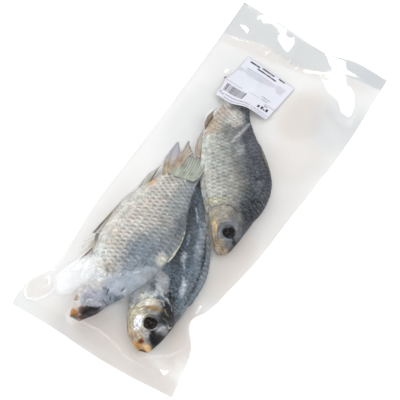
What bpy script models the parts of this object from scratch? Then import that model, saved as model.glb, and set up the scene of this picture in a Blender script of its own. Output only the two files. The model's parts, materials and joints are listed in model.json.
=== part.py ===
"""Pack of dried crucian carp: a flat, sealed film pouch that holds whole fish and carries a
paper scale label.

Metres, +Z up. The pouch lies on its back as on a counter. +Y points to the end with the label
and +X to the backs of the fish. The origin is at the middle of the box, on the underside.

The pouch is one closed solid out to the film: a flat underside, thin hems that stand off the
counter in places, and a top that is drawn over the fish like a slack skin. The fish only give
that skin its relief here.
"""

from math import cos, radians, sin
from typing import NamedTuple

import bmesh
import bpy
import numpy as np
from mathutils import Vector
from mathutils.bvhtree import BVHTree

# Pouch, lying flat
POUCH_LENGTH = 0.410
POUCH_WIDTH = 0.180
HEM_THICKNESS = 0.0009      # both films of a hem, with the air that stays between them
FILM_OVER_FISH = 0.0006     # how far the film stands off a fish that it touches
FILM_SAG = 0.00012          # how much one grid step of free film hangs below a straight span
CELLS_ACROSS = 28
CELLS_ALONG = 64
DRAPE_ROUNDS = 900

# Outline, as fractions of the half width at stations along the pouch, bottom end first
LEFT_EDGE = ((0.0, -0.980), (0.035, -1.0), (0.062, -0.995), (0.158, -0.862), (0.215, -0.873),
             (0.31, -0.915), (0.45, -0.914), (0.63, -0.916), (0.80, -0.928), (1.0, -0.957))
RIGHT_EDGE = ((0.0, 0.985), (0.055, 0.945), (0.125, 0.855), (0.175, 0.705), (0.215, 0.775),
              (0.30, 0.845), (0.39, 0.905), (0.54, 0.943), (0.65, 0.981), (0.80, 1.0),
              (1.0, 0.968))
# Dips of the two ends, in metres, at stations across the pouch, left side first
TOP_DIP = ((0.0, 0.0), (0.23, 0.0028), (0.45, 0.0078), (0.62, 0.0092), (0.75, 0.0032),
           (1.0, 0.0042))
BOTTOM_DIP = ((0.0, 0.0010), (0.30, 0.0016), (0.47, 0.0), (0.90, 0.0022), (1.0, 0.0036))

# Where the thin hems stand off the counter: x, y, reach and height of each low swell
HEM_SWELLS = (
    (-0.078, -0.160, 0.030, 0.0050),
    (0.074, -0.186, 0.026, 0.0045),
    (0.066, -0.128, 0.020, 0.0060),
    (0.062, 0.162, 0.036, 0.0055),
    (-0.028, 0.186, 0.030, 0.0040),
    (-0.082, 0.040, 0.022, 0.0020),
    (0.086, 0.060, 0.024, 0.0025),
)

# Paper label on the film
LABEL_WIDTH = 0.058
LABEL_HEIGHT = 0.053
LABEL_CENTRE = (-0.0175, 0.1145)
LABEL_TURN = -1.0           # degrees about +Z
LABEL_THICKNESS = 0.0002
LABEL_GAP = 0.0005          # between the label and the facets of the film below it
LABEL_CELLS = (14, 13)


class Fish(NamedTuple):
    """One fish on its side: where it lies and how deep and thick it is."""

    snout: tuple        # x, y of the mouth
    heading: float      # degrees from +Y towards -X in which the tail points
    length: float       # snout to the root of the tail fin
    thickness: float    # widest across the flanks
    height: float       # of the mid-plane at the snout-to-tail line
    roll: float         # degrees by which the back is higher than the belly
    back: tuple         # outline above the snout-to-tail line, as fractions of the length
    belly: tuple        # outline below it


# Stations along a fish that its outlines share
STATIONS = (0.0, 0.07, 0.14, 0.22, 0.36, 0.50, 0.62, 0.70, 0.80, 0.90, 1.0)
FISH = (
    Fish(snout=(-0.0260, -0.1895), heading=0.5, length=0.183, thickness=0.021,
         height=0.0145, roll=14.0,
         back=(0.018, 0.082, 0.110, 0.156, 0.221, 0.235, 0.236, 0.210, 0.162, 0.128, 0.112),
         belly=(0.026, 0.058, 0.078, 0.096, 0.128, 0.166, 0.177, 0.176, 0.152, 0.108, 0.076)),
    Fish(snout=(0.0440, -0.1810), heading=17.0, length=0.173, thickness=0.019,
         height=0.0098, roll=2.0,
         back=(0.016, 0.070, 0.102, 0.130, 0.170, 0.194, 0.183, 0.165, 0.120, 0.076, 0.070),
         belly=(0.030, 0.100, 0.132, 0.150, 0.172, 0.180, 0.172, 0.158, 0.120, 0.082, 0.070)),
    Fish(snout=(0.0515, -0.0610), heading=27.0, length=0.168, thickness=0.020,
         height=0.0102, roll=0.0,
         back=(0.020, 0.078, 0.120, 0.164, 0.226, 0.238, 0.196, 0.164, 0.122, 0.088, 0.076),
         belly=(0.022, 0.042, 0.058, 0.082, 0.124, 0.154, 0.158, 0.163, 0.160, 0.118, 0.066)),
)
FLANK = (0.30, 0.56, 0.78, 0.94, 1.0, 0.96, 0.84, 0.72, 0.54, 0.40, 0.30)
TAIL_FIN_REACH = 0.20       # of a fish's length, past the root of the fin
TAIL_FIN_HALF_HEIGHT = 0.13
TAIL_FIN_THICKNESS = 0.0016


def remove_everything():
    for thing in list(bpy.data.objects):
        bpy.data.objects.remove(thing, do_unlink=True)


def principled(name, colour, roughness, alpha=1.0):
    material = bpy.data.materials.new(name)
    material.use_nodes = True
    shader = material.node_tree.nodes["Principled BSDF"]
    shader.inputs["Base Color"].default_value = (*colour, 1.0)
    shader.inputs["Roughness"].default_value = roughness
    shader.inputs["Metallic"].default_value = 0.0
    shader.inputs["Alpha"].default_value = alpha
    return material


def smooth_curve(stations, values, at):
    """Read a smooth curve through the stations: cubic pieces with averaged slopes."""
    stations = np.asarray(stations, float)
    values = np.asarray(values, float)
    slopes = np.gradient(values, stations)
    at = np.clip(at, stations[0], stations[-1])
    piece = np.clip(np.searchsorted(stations, at, side="right") - 1, 0, len(stations) - 2)
    span = stations[piece + 1] - stations[piece]
    t = (at - stations[piece]) / span
    start = values[piece] * (2 * t**3 - 3 * t**2 + 1) + slopes[piece] * span * (t**3 - 2 * t**2 + t)
    end = values[piece + 1] * (3 * t**2 - 2 * t**3) + slopes[piece + 1] * span * (t**3 - t**2)
    return start + end


def curve_of(points, at):
    stations, values = zip(*points)
    return smooth_curve(stations, values, at)


def pouch_plan():
    """The x and y of every point of the pouch's grid, hem to hem."""
    across, along = np.meshgrid(np.linspace(0, 1, CELLS_ACROSS + 1),
                                np.linspace(0, 1, CELLS_ALONG + 1), indexing="ij")
    left = curve_of(LEFT_EDGE, along) * POUCH_WIDTH / 2
    right = curve_of(RIGHT_EDGE, along) * POUCH_WIDTH / 2
    bottom = -POUCH_LENGTH / 2 + curve_of(BOTTOM_DIP, across)
    top = POUCH_LENGTH / 2 - curve_of(TOP_DIP, across)
    return left + (right - left) * across, bottom + (top - bottom) * along


def fish_top(fish, x, y):
    """Height of the fish's upper flank above the counter, or zero beside the fish."""
    turn = radians(fish.heading)
    east = x - fish.snout[0]
    north = y - fish.snout[1]
    s = (-east * sin(turn) + north * cos(turn)) / fish.length
    n = (east * cos(turn) + north * sin(turn)) / fish.length
    back = smooth_curve(STATIONS, fish.back, s)
    belly = smooth_curve(STATIONS, fish.belly, s)
    half_flank = smooth_curve(STATIONS, FLANK, s) * fish.thickness / 2
    off_centre = np.abs((n - (back - belly) / 2) / ((back + belly) / 2))
    mid_plane = fish.height + n * fish.length * np.tan(radians(fish.roll))
    flank = mid_plane + half_flank * np.sqrt(np.clip(1 - off_centre**2.4, 0, 1))
    on_body = (s > 0) & (s < 1) & (off_centre < 1)

    past = (s - 1) / TAIL_FIN_REACH
    half_fin = 0.07 + (TAIL_FIN_HALF_HEIGHT - 0.07) * np.clip(past, 0, 1)
    on_fin = (past >= 0) & (past < 1) & (np.abs(n) < half_fin)
    fin = mid_plane + TAIL_FIN_THICKNESS / 2 - past * 0.3 * fish.height
    return np.where(on_body, flank, np.where(on_fin, fin, 0.0))


def hem_lift(x, y):
    lift = np.zeros_like(x)
    for centre_x, centre_y, reach, height in HEM_SWELLS:
        away = np.hypot(x - centre_x, y - centre_y) / reach
        lift = np.maximum(lift, height * np.exp(-away**2 * 1.6))
    return lift


def drape(floor, hem):
    """Relax a skin that is held at the hems and can't pass below the floor heights."""
    skin = np.maximum(floor, hem)
    for _ in range(DRAPE_ROUNDS):
        neighbours = (skin[:-2, 1:-1] + skin[2:, 1:-1] + skin[1:-1, :-2] + skin[1:-1, 2:]) / 4
        skin[1:-1, 1:-1] = np.maximum(neighbours - FILM_SAG, floor[1:-1, 1:-1])
    return skin


def mesh_object(name, points, faces, material):
    mesh = bpy.data.meshes.new(name)
    mesh.from_pydata([tuple(point) for point in points], [], faces)
    mesh.materials.append(material)
    build = bmesh.new()
    build.from_mesh(mesh)
    bmesh.ops.triangulate(build, faces=build.faces)
    bmesh.ops.recalc_face_normals(build, faces=build.faces)
    build.to_mesh(mesh)
    build.free()
    mesh.shade_smooth()
    thing = bpy.data.objects.new(name, mesh)
    bpy.context.scene.collection.objects.link(thing)
    return thing


def slab(name, lower, upper, material):
    """A closed solid between two grids of points that lie one above the other."""
    rows, columns = upper.shape[:2]
    points = np.concatenate([upper.reshape(-1, 3), lower.reshape(-1, 3)])
    below = rows * columns

    def corner(i, j):
        return i * columns + j

    faces = []
    for i in range(rows - 1):
        for j in range(columns - 1):
            quad = (corner(i, j), corner(i + 1, j), corner(i + 1, j + 1), corner(i, j + 1))
            faces.append(quad)
            faces.append(tuple(below + index for index in reversed(quad)))
    rim = [(i, 0) for i in range(rows - 1)]
    rim += [(rows - 1, j) for j in range(columns - 1)]
    rim += [(i, columns - 1) for i in range(rows - 1, 0, -1)]
    rim += [(0, j) for j in range(columns - 1, 0, -1)]
    for here, there in zip(rim, rim[1:] + rim[:1]):
        a = corner(*here)
        b = corner(*there)
        faces.append((a, below + a, below + b, b))
    return mesh_object(name, points, faces, material)


def make_pouch():
    x, y = pouch_plan()
    fish = np.max([fish_top(each, x, y) for each in FISH], axis=0)
    lift = np.where(fish > 0, 0.0, hem_lift(x, y))
    under = np.where(lift > 0.0002, lift, 0.0)
    covered = np.where(fish > 0, fish + FILM_OVER_FISH, 0.0)
    hem = under + HEM_THICKNESS
    skin = drape(np.maximum(covered, hem), hem)
    film = principled("pouch_film", (0.80, 0.77, 0.74), 0.12, alpha=0.35)
    return slab("pouch", np.stack([x, y, under], -1), np.stack([x, y, skin], -1), film)


def make_label(pouch):
    """A thin sheet that follows the film below it."""
    film = BVHTree.FromObject(pouch, bpy.context.evaluated_depsgraph_get())
    across, along = np.meshgrid(np.linspace(-0.5, 0.5, LABEL_CELLS[0] + 1) * LABEL_WIDTH,
                                np.linspace(-0.5, 0.5, LABEL_CELLS[1] + 1) * LABEL_HEIGHT,
                                indexing="ij")
    turn = radians(LABEL_TURN)
    x = LABEL_CENTRE[0] + across * cos(turn) - along * sin(turn)
    y = LABEL_CENTRE[1] + across * sin(turn) + along * cos(turn)
    above = 1.0
    z = np.zeros_like(x)
    for place in np.ndindex(x.shape):
        hit = film.ray_cast(Vector((x[place], y[place], above)), Vector((0, 0, -1)))[0]
        z[place] = hit.z
    lower = np.stack([x, y, z + LABEL_GAP], -1)
    upper = lower + np.array([0, 0, LABEL_THICKNESS])
    paper = principled("label_paper", (0.82, 0.81, 0.93), 0.55)
    return slab("label", lower, upper, paper)


def main():
    remove_everything()
    pouch = make_pouch()
    bpy.context.view_layer.update()
    make_label(pouch)


main()
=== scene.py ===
"""Pack of dried crucian carp: a sealed pouch of clear film, the fish in it and its paper label."""

import json
from math import cos, pi, radians, sin
from typing import NamedTuple

import bmesh
import bpy
import numpy as np
from bpy.props import FloatProperty, FloatVectorProperty, PointerProperty
from mathutils import Matrix, Vector, noise
from mathutils.bvhtree import BVHTree

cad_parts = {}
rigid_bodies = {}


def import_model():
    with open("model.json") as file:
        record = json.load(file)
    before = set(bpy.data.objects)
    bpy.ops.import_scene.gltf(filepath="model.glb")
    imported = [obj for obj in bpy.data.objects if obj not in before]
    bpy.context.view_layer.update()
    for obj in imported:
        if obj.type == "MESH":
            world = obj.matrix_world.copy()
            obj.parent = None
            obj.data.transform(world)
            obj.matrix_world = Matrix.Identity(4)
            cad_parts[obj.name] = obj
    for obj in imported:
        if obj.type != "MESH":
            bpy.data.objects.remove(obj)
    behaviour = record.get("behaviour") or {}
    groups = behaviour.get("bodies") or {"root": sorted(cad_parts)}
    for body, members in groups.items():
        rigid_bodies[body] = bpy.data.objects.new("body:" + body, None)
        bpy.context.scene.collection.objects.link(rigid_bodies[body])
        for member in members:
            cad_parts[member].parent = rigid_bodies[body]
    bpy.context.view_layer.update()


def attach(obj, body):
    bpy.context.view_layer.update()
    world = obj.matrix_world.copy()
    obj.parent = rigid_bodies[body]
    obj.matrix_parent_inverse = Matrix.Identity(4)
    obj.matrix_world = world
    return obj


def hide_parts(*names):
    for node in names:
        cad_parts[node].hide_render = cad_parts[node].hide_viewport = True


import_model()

bl_info = {"name": "Pack of Dried Crucian Carp", "version": (1, 0, 0), "blender": (4, 5, 0),
    "location": "3D View > Sidebar > Fish Pack",
    "description": "Makes whole dried fish in a clear film pouch with a paper scale label",
    "category": "Add Mesh",}

MM = 0.001
BODY = "root"

# --- The pouch's outline, as in the construction model -------------------------------------

POUCH_LENGTH = 0.41
POUCH_WIDTH = 0.18
LEFT_EDGE = ((0.0, -0.98), (0.035, -1.0), (0.062, -0.995), (0.158, -0.862), (0.215, -0.873),
             (0.31, -0.915), (0.45, -0.914), (0.63, -0.916), (0.8, -0.928), (1.0, -0.957))
RIGHT_EDGE = ((0.0, 0.985), (0.055, 0.945), (0.125, 0.855), (0.175, 0.705), (0.215, 0.775),
              (0.3, 0.845), (0.39, 0.905), (0.54, 0.943), (0.65, 0.981), (0.8, 1.0),
              (1.0, 0.968))
TOP_DIP = ((0.0, 0.0), (0.23, 0.0028), (0.45, 0.0078), (0.62, 0.0092), (0.75, 0.0032),
           (1.0, 0.0042))
BOTTOM_DIP = ((0.0, 0.001), (0.3, 0.0016), (0.47, 0.0), (0.9, 0.0022), (1.0, 0.0036))
HEM_SWELLS = (
    (-0.078, -0.16, 0.03, 0.005),
    (0.074, -0.186, 0.026, 0.0045),
    (0.066, -0.128, 0.02, 0.006),
    (0.062, 0.162, 0.036, 0.0055),
    (-0.028, 0.186, 0.03, 0.004),
    (-0.082, 0.04, 0.022, 0.002),
    (0.086, 0.06, 0.024, 0.0025),
)


# --- The fish ------------------------------------------------------------------------------

class Fish(NamedTuple):
    """One fish on its side, and how its dried skin is coloured."""

    name: str
    snout: tuple        # x, y of the mouth
    heading: float      # degrees from +Y towards -X in which the tail points
    length: float       # snout to the root of the tail fin
    thickness: float    # widest across the flanks
    height: float       # of the mid-plane at the snout-to-tail line
    roll: float         # degrees by which the back is higher than the belly
    tail_drop: float    # how much lower the root of the tail fin lies
    back: tuple         # outline above the snout-to-tail line, as fractions of the length
    belly: tuple        # outline below it
    eye: tuple          # along, across, as fractions of the length, and radius in metres
    gape: float         # how far the corner of the mouth lies behind the lips
    wrinkles: float     # height of the creases round the eye
    scale_rows: int     # across a flank, belly to back
    scale_columns: int  # from the gill cover to the tail fin
    scale_contrast: float
    flank_colours: tuple    # belly to back
    head_colours: tuple     # jaw to forehead
    flecks: float       # how much pale flecks cover the skin
    seed: int
    bare: tuple         # (n, s) of the line where the scales begin, belly to back
    scaled_to: float    # s where they end
    worn: tuple         # n below which the scales are rubbed smooth, and above which they aren't
    eye_open: float     # 1 for a clear eye in a deep socket, 0 for one grown over
    slit: tuple         # n between which the gill slit fades out towards the back


STATIONS = (0.0, 0.07, 0.14, 0.22, 0.36, 0.5, 0.62, 0.7, 0.8, 0.9, 1.0)
FLANK = (0.3, 0.56, 0.78, 0.94, 1.0, 0.96, 0.84, 0.72, 0.54, 0.4, 0.3)
FISH = (
    Fish(name="fish_left", snout=(-0.026, -0.1895), heading=0.5, length=0.183,
         thickness=0.021, height=0.0145, roll=14.0, tail_drop=0.0055,
         back=(0.028, 0.082, 0.11, 0.156, 0.221, 0.235, 0.236, 0.21, 0.162, 0.128, 0.112),
         belly=(0.028, 0.058, 0.078, 0.096, 0.128, 0.166, 0.177, 0.176, 0.152, 0.108, 0.08),
         eye=(0.118, 0.048, 5.0 * MM), gape=0.042, wrinkles=0.15 * MM,
         scale_rows=11, scale_columns=29, scale_contrast=0.88,
         flank_colours=("D0D0C9", "D0CBC3", "C0BBB4", "9C9E9D", "7C838A"),
         head_colours=("D6D1CA", "CBCACC", "A3A6AF", "7A808B"), flecks=0.25, seed=11,
         bare=((-0.1, 0.3), (-0.037, 0.318), (0.0, 0.296), (0.028, 0.27), (0.052, 0.278),
               (0.128, 0.364), (0.186, 0.414), (0.24, 0.44)), scaled_to=0.94,
         worn=(-0.105, -0.045), eye_open=0.0, slit=(-0.01, 0.05)),
    Fish(name="fish_middle", snout=(0.044, -0.181), heading=17.0, length=0.173,
         thickness=0.019, height=0.0098, roll=2.0, tail_drop=0.0045,
         back=(0.026, 0.07, 0.102, 0.13, 0.17, 0.194, 0.183, 0.165, 0.12, 0.076, 0.07),
         belly=(0.03, 0.1, 0.132, 0.15, 0.172, 0.18, 0.172, 0.158, 0.12, 0.082, 0.07),
         eye=(0.155, -0.004, 6.8 * MM), gape=0.026, wrinkles=0.45 * MM,
         scale_rows=12, scale_columns=27, scale_contrast=0.55,
         flank_colours=("9EA5A8", "7F8B95", "4C5B69", "3B4A58", "68747E"),
         head_colours=("B8AC90", "C6C0AD", "75767A", "23262B"), flecks=0.9, seed=23,
         bare=((-0.2, 0.29), (0.0, 0.33), (0.07, 0.36), (0.12, 0.34), (0.2, 0.3)),
         scaled_to=1.02, worn=(-0.3, -0.2), eye_open=1.0, slit=(0.06, 0.1)),
    Fish(name="fish_right", snout=(0.0515, -0.061), heading=27.0, length=0.168,
         thickness=0.02, height=0.0102, roll=0.0, tail_drop=0.002,
         back=(0.034, 0.08, 0.12, 0.164, 0.226, 0.238, 0.196, 0.164, 0.122, 0.088, 0.076),
         belly=(0.032, 0.046, 0.06, 0.082, 0.124, 0.154, 0.158, 0.163, 0.16, 0.118, 0.066),
         eye=(0.13, 0.036, 6.2 * MM), gape=0.012, wrinkles=0.45 * MM,
         scale_rows=13, scale_columns=29, scale_contrast=0.66,
         flank_colours=("C8CCC5", "ABADA7", "7B7C78", "44484F", "31353D"),
         head_colours=("A39A86", "8A857B", "6D6B69", "414349"), flecks=0.6, seed=37,
         bare=((-0.2, 0.25), (0.2, 0.25)), scaled_to=1.02, worn=(-0.17, -0.08), eye_open=1.0,
         slit=(0.06, 0.12)),
)


class Stain(NamedTuple):
    """A soft patch of another colour: where and how far, in thousandths of the length."""

    s: float
    n: float
    reach_s: float
    reach_n: float
    colour: str
    amount: float


STAINS = {
    "fish_left": tuple(Stain(*row) for row in (
        (450, 120, 140, 110, "76838F", 0.9),  # blue-grey behind the head
        (360, -82, 50, 55, "D4D8D8", 0.8),  # bare silver of the belly
        (267, -52, 60, 50, "DAD9D6", 0.8),
        (298, 13, 36, 20, "7F786A", 0.7),  # shade behind the gill cover
        (199, 74, 13, 18, "4A5260", 0.8),
        (205, 125, 36, 20, "525B68", 0.8),
        (252, 123, 14, 12, "3E4652", 0.8),
        (134, -4, 52, 30, "ACACBA", 0.8),  # lilac skin round the eye, partly painted glare of the film over the head
        (100, -61, 16, 26, "A98F62", 0.85),
        (71, 72, 44, 18, "20242C", 1.0),  # black forehead
        (48, 20, 20, 26, "5E4536", 0.9),
        (18, -22, 32, 28, "D08C42", 1.0),  # rusty jaws
        (6, 30, 22, 20, "7A4A2C", 0.9),
        (560, -185, 120, 20, "A08D6E", 0.7),  # oily brown belly edge
        (432, -150, 20, 30, "9A9A94", 0.7),
        (482, 222, 34, 22, "D8D6C8", 0.85),
        (885, -108, 40, 24, "D2A878", 0.8),
        (930, -20, 40, 32, "A0A296", 0.6),
        (990, -10, 45, 60, "9C968A", 0.7),
        (780, 205, 200, 45, "5C6468", 0.8),  # dusky edge of the back
        (270, 135, 130, 70, "8C98A6", 0.95),  # nape: blue-grey skin, painted lighter for the film's glare over it
        (236, 90, 47, 42, "98A2AE", 0.85),
        (317, 180, 74, 42, "8894A2", 0.85),
        (210, -19, 63, 74, "BEBDBB", 0.85),  # bleached gill cover
        (254, -4, 42, 53, "D5DADC", 0.8),
        (124, 24, 36, 26, "9193A0", 0.8),
        (140, 72, 30, 21, "9A9EAC", 0.9),
    )),
    "fish_middle": tuple(Stain(*row) for row in (
        (600, 40, 300, 35, "2E3B48", 0.9),  # dark lateral band
        (410, -20, 35, 35, "858890", 0.8),
        (365, -51, 14, 30, "3A4046", 0.8),
        (318, -24, 18, 18, "C6CACC", 0.8),
        (345, 50, 34, 36, "2C3036", 0.8),
        (262, 72, 80, 45, "15161B", 0.95),  # dark nape
        (205, 58, 45, 36, "14151A", 0.95),
        (383, 112, 52, 18, "A9B3BE", 0.8),
        (563, 64, 38, 12, "C2C8CD", 0.8),
        (720, 122, 170, 30, "8792A0", 0.8),  # lighter along the back
        (272, -68, 50, 45, "CCCDC6", 0.9),  # pale gill cover
        (222, -128, 40, 18, "D6CBB6", 0.7),
        (228, -5, 12, 55, "94774E", 0.8),  # amber crease over the eye
        (127, -104, 56, 26, "C9BCA4", 0.8),
        (70, -72, 38, 26, "AC9C84", 0.8),
        (140, -66, 42, 25, "E8EAF2", 1.0),  # bleached socket
        (76, 48, 36, 42, "121014", 1.0),
        (120, 20, 30, 20, "2A2422", 0.8),
        (136, 80, 24, 20, "85878D", 1.0),
        (163, 103, 10, 10, "1A1818", 1.0),  # nostril
        (16, -36, 30, 30, "C08C4C", 1.0),  # rusty jaws
        (20, 18, 28, 28, "C9A26C", 1.0),
        (50, -22, 18, 14, "7A3A1C", 1.0),
        (800, 140, 200, 8, "8A8474", 0.6),  # oily back edge
        (850, 20, 110, 30, "1E2936", 0.9),  # blue-black root of the tail
    )),
    "fish_right": tuple(Stain(*row) for row in (
        (130, 36, 85, 80, "6A737B", 0.9),  # bluish orbit
        (250, -14, 60, 50, "A29D92", 0.7),
        (145, -46, 56, 17, "DFC29C", 0.9),  # amber cheek
        (68, -22, 34, 34, "9A8A72", 0.9),
        (20, 10, 30, 30, "A89C8A", 0.9),
        (76, 71, 16, 14, "161214", 1.0),  # nostril
        (182, 134, 50, 30, "3C3E44", 0.8),
        (240, 46, 28, 34, "5A5B5A", 0.6),  # dark nape
        (668, 52, 50, 32, "A2A3AA", 0.55),  # lilac flank
        (250, 135, 50, 45, "161A22", 0.95),
        (332, 150, 30, 30, "22272D", 0.8),
        (400, 100, 50, 30, "6A6A60", 0.5),
        (459, 190, 26, 26, "6C7078", 0.5),
        (324, -80, 16, 46, "C4BF9E", 0.85),  # yellow fat behind the gill
        (327, -20, 12, 40, "ABA684", 0.7),
        (292, -100, 12, 14, "F2EFE6", 0.9),
        (835, -128, 50, 32, "A88C68", 0.85),  # rusty vent
        (860, -95, 50, 30, "B3A088", 0.7),
        (957, -85, 60, 30, "BFA79A", 0.8),
        # pale along the crease of the flank: painted highlight
        (760, 35, 50, 12, "B4B0B0", 0.6),
        (720, 130, 80, 40, "585A62", 0.7),
        (814, -106, 57, 52, "BBAF9C", 0.6),
        (780, -150, 17, 18, "B07E66", 0.6),
        (962, 20, 20, 60, "33353B", 0.95),  # shade under the label
        (900, 3, 70, 65, "C4BFB9", 0.8),  # peduncle
        (935, -40, 29, 46, "C9BDB4", 0.6),
        (693, 157, 52, 46, "4A4A56", 0.8),
        (509, 175, 50, 70, "32353D", 0.7),
        (575, 148, 52, 52, "484B54", 0.6),
        (609, 139, 23, 29, "2C3038", 0.7),
        (370, 135, 60, 52, "33373D", 0.8),
        (304, 118, 46, 40, "262B31", 0.8),
        (317, 174, 40, 52, "1E2127", 0.8),
        (423, 39, 57, 46, "A09E90", 0.5),
    )),
}


class Stroke(NamedTuple):
    """A painted line: its points (s, n) in thousandths of the length, width in millimetres."""

    path: tuple
    width: float
    colour: str
    amount: float


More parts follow.
